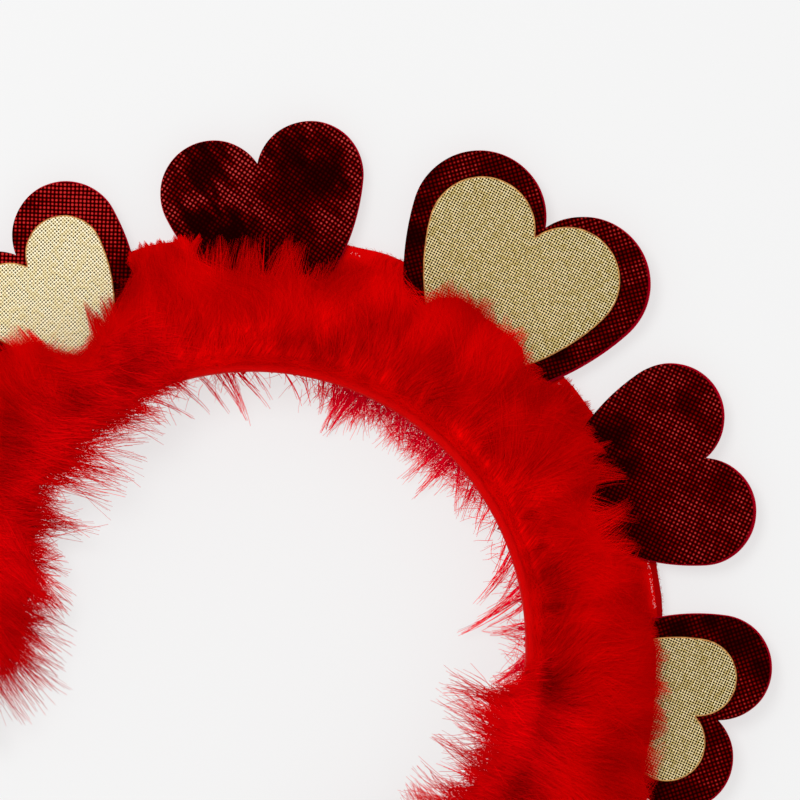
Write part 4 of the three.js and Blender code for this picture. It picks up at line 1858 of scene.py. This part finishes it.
LEFT_HANG = (
    Hang(50, 66.6, 2, -50),
    Hang(53, 66, 6, -50),
    Hang(57, 64.8, 9, -55),
    Hang(64, 64, 12, -55),
    Hang(71, 63.6, 14, -52),
    Hang(78, 62.8, 16, -46),
    Hang(86, 62.4, 14, -34),
    Hang(93, 60.6, 14, -24),
    Hang(99, 58, 13, -10),
    Hang(104.5, 55.6, 11, 0),
    Hang(108.5, 54.4, 11, 22),
    Hang(113, 54.4, 13, 38),
    Hang(121, 54.8, 13, 42),
    Hang(126, 56, 13, 60),
    Hang(128.5, 58, 12, 72),
    Hang(130, 60.5, 12, 80),
)
RIGHT_HANG = (
    Hang(60, 66.6, 1, 20),
    Hang(64, 64.5, 10, 5),
    Hang(66.5, 62.2, 14, -4),
    Hang(71, 60.6, 13, -2),
    Hang(75, 61.4, 13, 2),
    Hang(79, 63.6, 14, 4),
    Hang(84, 62.8, 13, 5),
    Hang(91, 62.6, 13, 8),
    Hang(104, 59.5, 12, 12),
    Hang(116, 57.2, 11, 20),
    Hang(123, 56.6, 11, 45),
    Hang(130, 58.5, 11, 78),
)


@dataclass
class SpillFur:
    """The fur that falls over the band's front edge into the arch along one leg: a pile and hairs over it."""

    surface: FurSurface
    side: int
    rows: tuple[Hang, ...]
    tufts: int
    cover_rows: tuple[Cover, ...] = (
        Cover(65.2, 1),
        Cover(68.5, 0.9),
        Cover(71, 0.5),
        Cover(73.5, -0.3),
        Cover(76, -1.4),
    )
    fall_rows: tuple[Fall, ...] = (
        Fall(0, 1, 0.6),
        Fall(0.3, 0.6, 1.2),
        Fall(0.6, -1.2, 1.6),
        Fall(0.85, -3.6, 1.4),
        Fall(1, -6, 0.4),
        Fall(1.6, -10, 0),
        Fall(3, -17, 0),
    )
    edge: float = 65.2
    open_span: Span = (2.0, 9.0)
    sunk: float = 0.9
    over_front: float = 0.7
    cover_thick: float = 0.5
    full_depth: float = 6.0
    least_hang: float = 0.4
    floor_gap: float = 0.6
    ragged: tuple[Mottle, ...] = (Mottle(0.9, 2.4, 1.0), Mottle(0.54, 0.8, 1.0))
    ragged_step: float = 9.5
    pile_start: float = 2.0
    end_close: float = 0.8
    end_close_span: float = 4.0
    root_outside: float = 76.0
    tuft_hairs: int = 64
    tuft_sizes: Span = (0.25, 1.25)
    tuft_spread: float = 1.5
    tuft_uneven: float = 0.35
    tuft_lean: float = 17.0
    tuft_shortness: float = 1.7
    tuft_closing: Span = (0.95, 0.6)
    tuft_roots: Span = (0.8, -3.0)
    tuft_slant: Span = (0.8, 0.9)
    tuft_lift: Span = (0.2, 1.6)
    tuft_curl: float = 9.0
    tuft_wave: Wave = Wave(1.3, 4.4)
    own_lean: float = 0.14
    own_curl: float = 0.8
    net_hairs: int = 1700
    net_start: float = 1.8
    net_depth: float = 4.0
    net_thinning: float = 1.8
    net_opening: float = 2.0
    net_lean: float = 0.9
    net_lengths: Span = (2.0, 6.5)
    net_lift: Span = (-0.4, 1.2)
    net_wave: Wave = Wave(0.35, 5.5)
    cover_hairs: int = 4200
    cover_start: float = 3.0
    cover_outside: float = 82.0
    cover_lean: float = 0.8
    cover_swirls: Mottle = Mottle(40.0, 7.0, 9.0)
    cover_stray: float = 0.25
    cover_lengths: Span = (7.0, 15.0)
    cover_short: float = 2.0
    cover_lift: Span = (0.2, 1.1)
    cover_curls: Mottle = Mottle(6.0, 1.0, 4.0)
    cover_wave: Wave = Wave(0.5)
    cover_width: float = 0.12
    hair_width: float = 0.16
    tip_width: float = 0.5
    facing: float = -0.2
    late_turn: float = 1.4
    arching: Span = (0.4, 2.4)
    own_tone: float = 0.1
    finish: FurFinish = FurFinish(bright=(0.88, 0.0004, 0.002))
    steps: int = 6
    stations: int = 360
    seed: int = 41

    def build(self, name: str) -> None:
        """Build the pile and the hairs.

        Args:
            name: The start of the pieces' names.
        """
        self.build_pile(f"{name}_pile")
        self.build_tufts(f"{name}_hair")
        self.build_cover(f"{name}_cover")

    def column(self, name: str, angle: Numbers) -> Array:
        """Return a column of the table at these angles from the crown."""
        return read_rows(self.rows, "angle", name, angle)

    def opened(self, angle: Array, rises: Array) -> Array:
        """Return these rises where the hanging fur is open, sunk below the band's edge where it starts."""
        share = smooth(angle - self.rows[0].angle, *self.open_span)
        return rises * share - self.sunk * (1 - share)

    def fallen(self, rises: Array, hang: Array) -> Array:
        """Return these rises where the fur hangs in this far: all of the fall where it hangs deep."""
        level_rise = self.fall_rows[0].rise
        return level_rise + (rises - level_rise) * np.minimum(hang / self.full_depth, 1)

    def height(self, angle: Array, radius: Array) -> Array:
        """Find the top of the hanging fur: over the front fur, the band's edge, and down towards the floor.

        Args:
            angle: Degrees from the crown, down this leg.
            radius: Millimetres from the arc's centre.

        Returns:
            Heights above the floor in millimetres.
        """
        surface = self.surface
        hang = np.maximum(self.edge - self.column("radius", angle), self.least_hang)
        inside = read_rows(self.fall_rows, "share", "rise", (self.edge - radius) / hang)
        outside = read_rows(self.cover_rows, "radius", "rise", radius)
        rises = np.where(radius < self.edge, self.fallen(inside, hang), outside)
        height = surface.band_top(angle) + self.opened(angle, rises)
        front = surface.top(self.side * angle, radius)
        over = np.clip(height, front, front + self.over_front)
        return np.maximum(np.where(radius > surface.inside, over, height), self.floor_gap)

    def build_pile(self, name: str) -> None:
        """Build the pile as a thin closed skin over the band's edge, with a ragged hem.

        Args:
            name: The piece's name.
        """
        surface = self.surface
        uneven = Patches(default_rng(self.seed + 5 * self.side))
        first, last = self.rows[0].angle, self.rows[-1].angle
        angle = np.linspace(first + self.pile_start, last, self.stations)[:, None]
        steps = np.arange(len(self.ragged)) * self.ragged_step
        ragged = sum(mottle.at(uneven, angle, step) for mottle, step in zip(self.ragged, steps))
        closing = 1 - self.end_close * smooth(angle, last - self.end_close_span, last)
        hang = np.maximum((self.edge - self.column("radius", angle) - ragged) * closing, self.least_hang)
        hanging = [row for row in self.fall_rows if row.share <= 1]
        share, rise, thick = np.array([[row.share, row.rise, row.thick] for row in hanging]).T
        cover = np.array([[row.radius, row.rise] for row in self.cover_rows[1:]])
        inside = self.edge - share * hang
        drop = self.fallen(rise, hang)
        across, over = (np.ones_like(angle) * column for column in cover.T)
        radius = np.concatenate([across[:, ::-1], inside, inside[:, ::-1], across], axis=1)
        lower = [(drop - thick)[:, ::-1], over - self.cover_thick]
        rises = np.concatenate([over[:, ::-1], drop, *lower], axis=1)
        height = surface.band_top(angle) + self.opened(angle, rises)
        under = np.arange(radius.shape[1]) >= radius.shape[1] - len(cover)
        most = surface.top(self.side * angle, radius) + self.over_front - self.cover_thick * under
        height = np.where(radius > surface.inside, np.minimum(height, most), height)
        tone = surface.tone(self.side * angle, np.maximum(radius, self.edge))
        data = fur_skin(surface.arch, self.side * angle, radius, height, tone)
        if self.side < 0:
            data.faces = data.faces[:, ::-1]
        data.piece(name, Slot.FUR, [PileFinish().material(name)])

    def build_tufts(self, name: str) -> None:
        """Build hairs that gather to pointed tufts beyond the hem, and a loose net of hair along it.

        Args:
            name: The piece's name.
        """
        draw = default_rng(self.seed + self.side)
        first, last = self.rows[0].angle, self.rows[-1].angle
        step = (last - first) / self.tufts
        centre = np.linspace(first, last, self.tufts) + draw.normal(0, self.tuft_uneven * step, self.tufts)
        lean = np.radians(self.column("lean", centre) + draw.normal(0, self.tuft_lean, self.tufts))
        size = draw.uniform(*self.tuft_sizes, self.tufts)
        point = self.column("point", centre) * size
        tuft = np.repeat(np.arange(self.tufts), (self.tuft_hairs * size).astype(int))
        count = len(tuft)
        aside = draw.normal(0, self.tuft_spread, count) * size[tuft]
        share = draw.uniform(0.0, 1.0, count) ** self.tuft_shortness
        angle = np.clip(centre[tuft] + aside, first - 1, last + 1)
        hem = self.column("radius", angle)
        length = 1 + point[tuft] * share
        own = lean[tuft] + draw.normal(0, self.own_lean, count)
        tip = hem - length * np.cos(own)
        closing, early = self.tuft_closing
        tip_angle = angle - aside * closing * share**early + np.degrees(length * np.sin(own) / hem)
        nearest, farthest = self.tuft_roots
        root = draw.uniform(self.edge + nearest, self.root_outside + farthest, count)
        slant, most = self.tuft_slant
        root_angle = angle - np.degrees((root - hem) * np.tan(np.clip(own, -most, most)) * slant / root)
        lift = draw.uniform(*self.tuft_lift, count)
        phase = self.tuft_curl * lean[tuft] + draw.normal(0, self.own_curl, count)
        tufts = self.lay(draw, Strands(root_angle, root, tip_angle, tip, lift), phase, self.tuft_wave)
        self.hairs(draw, name, np.concatenate([tufts, self.net_strands(draw)]), self.hair_width)

    def net_strands(self, draw: Draw) -> Array:
        """Lay loose curly strands that cross each other along the hem.

        Args:
            draw: Random numbers.

        Returns:
            Their centre lines.
        """
        count = self.net_hairs
        angle = draw.uniform(self.rows[0].angle, self.rows[-1].angle, count)
        hem = self.column("radius", angle)
        depth = self.net_depth * draw.uniform(0, 1, count) ** self.net_thinning
        root = hem + self.net_start - depth * np.minimum((self.edge - hem) / self.net_opening, 1)
        lean = np.radians(self.column("lean", angle)) + draw.normal(0, self.net_lean, count)
        length = draw.uniform(*self.net_lengths, count)
        tip_angle = angle + np.degrees(length * np.sin(lean) / root)
        lift = draw.uniform(*self.net_lift, count)
        phase = draw.uniform(0, ANY_PHASE, count)
        strands = Strands(angle, root, tip_angle, root - length * np.cos(lean), lift)
        return self.lay(draw, strands, phase, self.net_wave)

    def build_cover(self, name: str) -> None:
        """Build fine hairs that lie across the parting between the front fur and the hanging fur.

        Args:
            name: The piece's name.
        """
        draw = default_rng(self.seed + 10 + self.side)
        swirls = Patches(draw)
        count = self.cover_hairs
        angle = draw.uniform(self.rows[0].angle + self.cover_start, self.rows[-1].angle, count)
        hem = self.column("radius", angle)
        root = draw.uniform(self.edge, self.cover_outside, count)
        swirl = self.cover_swirls.at(swirls, angle, root)
        lean = np.radians(self.cover_lean * self.column("lean", angle) + swirl)
        lean += draw.normal(0, self.cover_stray, count)
        length = draw.uniform(*self.cover_lengths, count)
        tip = np.maximum(root - length * np.cos(lean), hem + draw.uniform(0, self.cover_short, count))
        tip_angle = angle + np.degrees(length * np.sin(lean) / root)
        lift = draw.uniform(*self.cover_lift, count)
        curls = self.cover_curls.at(swirls, angle, root)
        lines = self.lay(draw, Strands(angle, root, tip_angle, tip, lift), curls, self.cover_wave)
        self.hairs(draw, name, lines, self.cover_width)

    def lay(self, draw: Draw, strands: Strands, phase: Array, wave: Wave) -> Array:
        """Lay hairs over the hanging fur.

        Args:
            draw: Random numbers.
            strands: Where the hairs grow, and how far each rises off the fur.
            phase: Where each hair's wave starts.
            wave: The hairs' waves.

        Returns:
            The hairs' centre lines.
        """
        t, angle, radius = strands.path(self.steps, self.late_turn)
        low, high = self.arching
        height = self.height(angle, radius) + strands.lift[:, None] * (low + high * t * (1 - t))
        return wave.along(draw, self.surface.arch.at(self.side * angle, radius, height), phase)

    def hairs(self, draw: Draw, name: str, lines: Array, width: float) -> None:
        """Make a piece of these hairs, in the tones of the fur that they lie on.

        Args:
            draw: Random numbers.
            name: The piece's name.
            lines: The hairs' centre lines.
            width: Their width at the root.
        """
        angle, radius = self.surface.arch.polar(lines)
        tones = self.surface.tone(angle, np.maximum(radius, self.edge))
        tones = tones + draw.normal(0, self.own_tone, (len(lines), 1))
        facing = self.surface.facing(angle[:, 0], self.facing)
        hair = Hair(lines, tones, facing, draw, tip_width=self.tip_width)
        hair.mesh(width).piece(name, Slot.FUR, [self.finish.material(name)])


@dataclass(frozen=True)
class Tuft:
    """One pointed tuft inside the arch: its angle, length and lean, its hairs and its width at the band."""

    angle: float
    length: float
    lean: float
    hairs: int
    width: float


@dataclass(frozen=True)
class Net:
    """The loose net of hair at one angle: strands to a degree of the arch, and how far in they start."""

    angle: float
    strands: float
    depth: float


@dataclass
class BackFur:
    """The flat fur behind the felt: a pressed pelt, and wisps that float over the floor inside the arch."""

    surface: FurSurface
    tuft_rows: tuple[Tuft, ...] = (
        Tuft(-66, 15, 40, 8, 3),
        Tuft(-58, 15, 40, 8, 3),
        Tuft(-51, 13, 35, 8, 3),
        Tuft(-46, 12, 30, 8, 3),
        Tuft(-40.8, 14.5, 22, 20, 4.5),
        Tuft(-38, 13, 39, 9, 2),
        Tuft(-34.5, 9, 35, 4, 1.5),
        Tuft(-28, 9.5, 38, 4, 0.6),
        Tuft(-24, 8, 30, 7, 3),
        Tuft(-20, 9, 10, 9, 3),
        Tuft(-16.5, 11, 8, 22, 2.5),
        Tuft(-13.5, 13.5, -10, 34, 3.5),
        Tuft(-10.5, 14, -20, 36, 4),
        Tuft(-10, 10, 2, 20, 4),
        Tuft(-4, 7, -45, 9, 4),
        Tuft(-1, 9.5, 25, 16, 5),
        Tuft(5, 8, 10, 20, 5),
        Tuft(9, 14, -3, 18, 3),
        Tuft(12, 15, 2, 24, 5),
        Tuft(14, 13, 48, 11, 1.5),
        Tuft(19, 10, 35, 14, 4),
        Tuft(24, 9, 40, 10, 4),
        Tuft(28.7, 6, 45, 7, 1.5),
        Tuft(33, 11, 48, 8, 3),
        Tuft(36.8, 14.5, 37, 26, 4),
        Tuft(40, 11, 45, 10, 3),
        Tuft(44.4, 19, 24, 30, 3.5),
        Tuft(47.5, 12, 25, 9, 2),
        Tuft(53, 11, -3, 24, 5),
        Tuft(58.6, 11, 38, 22, 4.5),
        Tuft(61.5, 8, 10, 18, 4),
        Tuft(66, 12, 5, 10, 4),
        Tuft(76, 15, 5, 10, 4),
        Tuft(86, 15, 8, 10, 4),
    )
    net_rows: tuple[Net, ...] = (
        Net(-131, 2, 5),
        Net(-60, 3, 6),
        Net(-48, 2, 5),
        Net(-42, 6, 3),
        Net(-36, 3, 3),
        Net(-30, 1, 2),
        Net(-22, 4, 5),
        Net(-18, 16, 4),
        Net(-14, 50, 6.5),
        Net(-10, 62, 7),
        Net(-7, 46, 5),
        Net(-4, 50, 4.5),
        Net(-1, 62, 6.5),
        Net(2, 50, 5),
        Net(5, 58, 6),
        Net(8, 50, 5),
        Net(12, 58, 6),
        Net(16, 40, 4.5),
        Net(20, 24, 4),
        Net(24, 12, 4),
        Net(30, 3, 4),
        Net(40, 4, 4),
        Net(50, 6, 4),
        Net(56, 9, 4),
        Net(62, 10, 4),
        Net(70, 3, 4),
        Net(131, 2, 5),
    )
    edge: float = 65.6
    pelt_outside: float = 80.5
    pelt_ragged: float = 0.5
    pelt_margin: float = 2.0
    pelt_tone: float = 0.6
    pelt_stations: int = 300
    pelt_profile: tuple[Profile, ...] = (
        Profile(0, 0.25),
        Profile(0.06, 0.85),
        Profile(0.5, 1),
        Profile(0.94, 0.85),
        Profile(1, 0.25),
        Profile(0.96, 0.03),
        Profile(0.5, 0.03),
        Profile(0.04, 0.03),
    )
    tuft_width: float = 0.17
    tuft_lift: float = 4.0
    tuft_lengths: Span = (0.25, 1.0)
    tuft_shortness: float = 0.8
    tuft_lean: float = 0.05
    tuft_closing: float = 0.96
    tuft_curl: float = 0.4
    tuft_wave: Wave = Wave(0.35, 4.0)
    net_width: float = 0.13
    net_lift: float = 7.0
    net_lifts: Span = (0.55, 1.0)
    net_start: float = 1.6
    net_overlap: float = 1.0
    net_thinning: float = 1.9
    net_lean: float = 0.85
    net_lengths: Span = (2.0, 6.0)
    net_wave: Wave = Wave(0.22, 5.0)
    net_grid: int = 4000
    root_heights: Span = (0.6, 1.9)
    middle_heights: Span = (1.2, 4.0)
    tip_heights: Span = (0.3, 2.0)
    tip_lift: float = 0.5
    lowest: float = 0.15
    tone: Span = (0.7, 0.13)
    # Painted light: the wisps' tones are brighter at the roots, in the band's shade, and darker towards the
    # tips.
    painted_root_light: Span = (0.12, -0.08)
    tip_width: float = 0.5
    ruffle: float = 0.3
    finish: FurFinish = FurFinish(dark=(0.7, 0.0, 0.012), bright=(1.0, 0.0, 0.02))
    steps: int = 8
    seed: int = 21

    def build(self) -> None:
        """Build the pelt and the wisps."""
        self.build_pelt()
        self.build_wisps()

    def build_pelt(self) -> None:
        """Build the pressed pelt, flat on the floor."""
        end = self.surface.end_angle - self.pelt_margin
        angle = np.linspace(-end, end, self.pelt_stations)[:, None]
        ragged = default_rng(self.seed).normal(0, self.pelt_ragged, (len(angle), 2))
        inside, outside = self.edge + ragged[:, :1], self.pelt_outside + ragged[:, 1:]
        radius = inside + (outside - inside) * np.array([row.outward for row in self.pelt_profile])
        height = level("fur_back", top=True) * np.array([row.height for row in self.pelt_profile])
        data = fur_skin(self.surface.arch, angle, radius, height, np.full(radius.shape, self.pelt_tone))
        piece = data.piece("fur_back_pelt", Slot.FUR, [PileFinish().material("back_pelt")])
        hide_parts("fur_back")

    def build_wisps(self) -> None:
        """Build pointed tufts of hair, and a loose net of strands close to the band."""
        draw = default_rng(self.seed + 1)
        tufts, net = self.tuft_strands(draw), self.net_strands(draw)
        finish = self.finish.material("wisp_hair")
        # Painted light: tones brighter at the roots by the band, darker towards the tips.
        painted_root_light = np.linspace(*self.painted_root_light, self.steps)
        sets = (("fur_back_wisps", tufts, self.tuft_width), ("fur_back_net", net, self.net_width))
        for name, lines, width in sets:
            tones = draw.normal(*self.tone, (len(lines), 1)) + painted_root_light
            hair = Hair(lines, tones, UP, draw, tip_width=self.tip_width, ruffle=self.ruffle)
            hair.mesh(width).piece(name, Slot.FUR, [finish])

    def tuft_strands(self, draw: Draw) -> Array:
        """Lay the hairs of the pointed tufts: wide apart at the band, and together at the point.

        Args:
            draw: Random numbers.

        Returns:
            Their centre lines.
        """
        rows = self.tuft_rows
        tuft = np.repeat(np.arange(len(rows)), [row.hairs for row in rows])
        columns = np.array([[row.angle, row.length, row.lean, row.width] for row in rows])[tuft]
        angle, length, lean, width = columns.T
        count = len(tuft)
        aside = np.degrees(draw.uniform(-0.5, 0.5, count) * width / self.edge)
        share = draw.uniform(*self.tuft_lengths, count) ** self.tuft_shortness
        own = np.radians(lean) + draw.normal(0, self.tuft_lean, count)
        reach = length * share
        tip = self.edge - reach * np.cos(own)
        tip_angle = angle + np.degrees(reach * np.sin(own) / tip) + aside * (1 - self.tuft_closing * share)
        phase = draw.uniform(0, ANY_PHASE, len(rows))[tuft] + draw.normal(0, self.tuft_curl, count)
        lift = self.tuft_lift * draw.uniform(0.0, 1.0, count)
        strands = Strands(angle + aside, np.full(count, self.edge), tip_angle, tip, lift)
        return self.hover(draw, strands, phase, self.tuft_wave)

    def net_strands(self, draw: Draw) -> Array:
        """Lay loose curly strands that cross each other close to the band.

        Args:
            draw: Random numbers.

        Returns:
            Their centre lines.
        """
        rows = self.net_rows
        grid = np.linspace(rows[0].angle, rows[-1].angle, self.net_grid)
        share = np.cumsum(read_rows(rows, "angle", "strands", grid)) * (grid[1] - grid[0])
        count = int(share[-1])
        angle = np.interp(draw.uniform(0, share[-1], count), share, grid)
        depth = read_rows(rows, "angle", "depth", angle) + self.net_overlap
        start = draw.uniform(0, 1, count) ** self.net_thinning
        root = self.edge + self.net_start - depth * start
        lean = draw.normal(0, self.net_lean, count)
        length = draw.uniform(*self.net_lengths, count)
        tip_angle = angle + np.degrees(length * np.sin(lean) / root)
        phase = draw.uniform(0, ANY_PHASE, count)
        lift = self.net_lift * np.sqrt(1 - start) * draw.uniform(*self.net_lifts, count)
        strands = Strands(angle, root, tip_angle, root - length * np.cos(lean), lift)
        return self.hover(draw, strands, phase, self.net_wave)

    def hover(self, draw: Draw, strands: Strands, phase: Array, wave: Wave) -> Array:
        """Lay hairs over the floor.

        Args:
            draw: Random numbers.
            strands: Where the hairs grow, and how far each root is above the pelt.
            phase: Where each hair's wave starts.
            wave: The hairs' waves.

        Returns:
            The hairs' centre lines.
        """
        count, lift = len(phase), strands.lift
        place = self.surface.arch.at
        first = place(strands.root_angle, strands.root, draw.uniform(*self.root_heights, count) + lift)
        half_angle = (strands.root_angle + strands.tip_angle) / 2
        half_way = (strands.root + strands.tip) / 2
        middle = place(half_angle, half_way, draw.uniform(*self.middle_heights, count) + lift)
        tip_height = draw.uniform(*self.tip_heights, count) + self.tip_lift * lift
        last = place(strands.tip_angle, strands.tip, tip_height)
        lines = wave.along(draw, bend(first, middle, last, self.steps), phase)
        lines[..., 2] = np.maximum(lines[..., 2], self.lowest * MM)
        return lines


@dataclass(frozen=True)
class Speck:
    """A stretch of the felt with specks of glue, between two angles."""

    start: float
    end: float
    specks: int


@dataclass
class GlueSpecks:
    """Tiny pale specks of dried glue on the felt, near its outer edge."""

    arch: Arch
    rows: tuple[Speck, ...] = (
        Speck(-21, -19, 8),
        Speck(42.5, 50.5, 60),
        Speck(15, 18.5, 12),
    )
    radii: Span = (95.9, 96.6)
    size: float = 0.11
    sizes: Span = (0.4, 1.0)
    rise: float = 0.3
    corners: int = 7
    finish: PlainFinish = PlainFinish((0.75, 0.3, 0.3), (0.92, 0.65, 0.65), 0.3)
    seed: int = 61

    def build(self) -> None:
        """Build the specks as small uneven cones."""
        draw = default_rng(self.seed)
        angle = np.concatenate([draw.uniform(row.start, row.end, row.specks) for row in self.rows])
        count = len(angle)
        middle = self.arch.at(angle, draw.uniform(*self.radii, count), level("felt_arch", top=True))
        turn = np.linspace(0, 2 * math.pi, self.corners, endpoint=False)
        wide = self.size * draw.uniform(*self.sizes, (count, self.corners, 1)) * MM
        ring = middle[:, None] + wide * np.stack([np.cos(turn), np.sin(turn), 0 * turn], axis=1)[None]
        peak = middle + UP * self.rise * self.size * MM
        points = np.concatenate([ring, peak[:, None]], axis=1).reshape(-1, 3)
        corner = np.arange(self.corners)
        cone = np.stack([corner, (corner + 1) % self.corners, np.full(self.corners, self.corners)], axis=1)
        faces = (np.arange(count)[:, None, None] * (self.corners + 1) + cone[None]).reshape(-1, 3)
        MeshData(points, faces).piece("glue_specks", Slot.FELT, [self.finish.material("dried_glue")])


@dataclass
class HeadBand:
    """The satin-covered band: a thin strip with rounded edges that tapers to round tips."""

    arch: Arch
    inside: float = 65.0
    tip_round: float = 6.0
    tip_narrow: float = 0.92
    stations: int = 300
    edge_steps: int = 5
    edge_bulge: float = 0.8
    edge_least: float = 0.02
    pucker: float = 0.03
    pucker_turns: tuple[float, float, float] = (2.3, 0.7, 2.0)
    weave_slope: float = 0.5

    def build(self) -> None:
        """Build the band with the faint puckers of its cover."""
        low, high = level("band", top=False), level("band", top=True)
        tip = self.arch.tip_angle
        angles = tip * np.sin(np.linspace(-1, 1, self.stations) * math.pi / 2)
        into_tip = np.clip((np.abs(angles) - tip + self.tip_round) / self.tip_round, 0, 1)
        narrow = np.sqrt(1 - self.tip_narrow * into_tip**2)
        half = (high - low) / 2 * self.arch.taper(angles) * narrow
        thick = (self.arch.outside - self.inside) / 2
        section = self.rounded(thick)
        fast, slow, sway = self.pucker_turns
        pucker = self.pucker * np.sin(angles * fast + np.sin(angles * slow) * sway)
        raised = np.abs(section[:, 1]) > thick / 2
        radii = self.inside + thick + section[None, :, 0] + pucker[:, None] * raised
        side = np.sign(section[:, 1])
        heights = (low + high) / 2 + side[None] * (half[:, None] - thick) + section[None, :, 1]
        data = loft(self.arch.at(angles[:, None], radii, heights))
        around = capped(angles) * math.radians(1) * self.arch.outside
        along = np.linalg.norm(np.diff(section, axis=0, prepend=section[:1]), axis=1)
        across = np.cumsum(along) + heights[self.stations // 2] * self.weave_slope
        data.numbers["around"] = np.repeat(around, section.shape[0])
        data.numbers["across"] = np.tile(across, len(around))
        piece = data.piece("band_satin", Slot.SATIN, [SatinFinish().material("band_cover")])
        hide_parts("band")

    def rounded(self, thick: float) -> Array:
        """Make half-round caps for the band's front and back edges, about the ends of its width.

        Args:
            thick: Half of the band's thickness.

        Returns:
            Rows of place outwards and upwards.
        """
        turn = np.linspace(0, math.pi, self.edge_steps)
        front = np.stack([-np.cos(turn), np.sin(turn) * self.edge_bulge], 1) * thick
        front[:, 1] = np.maximum(front[:, 1], self.edge_least)
        return np.concatenate([front, -front])


@dataclass(frozen=True)
class Studio:
    """The plain floor, soft light and the camera straight above."""

    arch: Arch
    pixels_per_mm: float = 4.2
    image_pixels: float = 800.0
    arch_pixel: tuple[float, float] = (252.4, 644.9)
    roll: float = 34.4
    camera_height: float = 2400.0
    focus_height: float = 8.0
    sensor: float = 36.0
    floor_side: float = 6.0
    floor_colour: float = 0.22
    floor_glow: float = 0.647
    floor_roughness: float = 0.95
    key_power: float = 6.3
    key_size: float = 0.5
    key_aside: float = 0.33
    key_height: float = 1.05
    sky: float = 0.8
    camera_depth: float = 20.0

    def build(self) -> None:
        """Build the floor, the lights and the camera."""
        self.build_floor()
        self.build_lights()
        self.build_camera()
        bpy.context.scene.view_settings.view_transform = "Standard"

    def directions(self) -> tuple[Array, Array]:
        """Return the directions that point right and up in the picture."""
        across, along = math.cos(math.radians(self.roll)), math.sin(math.radians(self.roll))
        return np.array([across, along, 0.0]), np.array([-along, across, 0.0])

    def target(self) -> Array:
        """Find the picture's middle.

        Returns:
            Its place on the floor in metres.
        """
        right, up = self.directions()
        across, down = (self.image_pixels / 2 - pixel for pixel in self.arch_pixel)
        return self.arch.centre + (right * across - up * down) * MM / self.pixels_per_mm

    def build_floor(self) -> None:
        """Build the pale floor."""
        half = self.floor_side / 2
        corners = [(-half, -half, 0), (half, -half, 0), (half, half, 0), (-half, half, 0)]
        mesh = bpy.data.meshes.new("floor")
        mesh.from_pydata(corners, [], [(0, 1, 2, 3)])
        paper = Shading("floor_paper").dress(
            Base_Color=(self.floor_colour, self.floor_colour, self.floor_colour),
            Roughness=self.floor_roughness,
            Specular_IOR_Level=0.0,
            Emission_Color=(1.0, 1.0, 1.0),
            Emission_Strength=self.floor_glow,
        )
        mesh.materials.append(paper)
        floor = bpy.data.objects.new("floor", mesh)
        bpy.context.scene.collection.objects.link(floor)

    def build_lights(self) -> None:
        """Build an even sky and one large soft light, up and to the left of the picture."""
        world = bpy.data.worlds.new("sky")
        world.use_nodes = True
        background = world.node_tree.nodes["Background"]
        background.inputs["Color"].default_value = (1, 1, 1, 1)
        background.inputs["Strength"].default_value = self.sky
        bpy.context.scene.world = world
        light = bpy.data.lights.new("key", "AREA")
        light.shape = "DISK"
        light.size = self.key_size
        light.energy = self.key_power
        key = bpy.data.objects.new("key", light)
        right, up = self.directions()
        target = self.target()
        key.location = target + (up - right) * self.key_aside + UP * self.key_height
        aim = Vector(target) - key.location
        key.rotation_euler = aim.to_track_quat("-Z", "Y").to_euler()
        bpy.context.scene.collection.objects.link(key)

    def build_camera(self) -> None:
        """Build the camera that looks straight down, turned so that the crown points up and to the right."""
        camera = bpy.data.cameras.new("camera")
        distance = (self.camera_height - self.focus_height) * MM
        camera.sensor_width = self.sensor
        camera.lens = self.sensor * distance / (self.image_pixels / self.pixels_per_mm * MM)
        camera.clip_end = self.camera_depth
        holder = bpy.data.objects.new("camera", camera)
        holder.location = self.target() + UP * self.camera_height * MM
        holder.rotation_euler = (0, 0, math.radians(self.roll))
        bpy.context.scene.collection.objects.link(holder)
        bpy.context.scene.camera = holder


def main() -> None:
    """Build the headband's pieces in order, then the studio."""
    logging.basicConfig(level=logging.INFO, format="%(name)s %(message)s")
    arch = Arch.of_band()
    hearts = Hearts(arch)
    Studio(arch).build()
    HeadBand(arch).build()
    FeltArch(arch).build()
    hearts.build()
    surface = FurSurface(arch, hearts.rows)
    BackFur(surface).build()
    FrontFur(surface).build()
    SpillFur(surface, side=-1, rows=LEFT_HANG, tufts=58).build("fur_spill_left")
    SpillFur(surface, side=1, rows=RIGHT_HANG, tufts=46).build("fur_spill_right")
    GlueSpecks(arch).build()


if __name__ == "__main__":
    main()
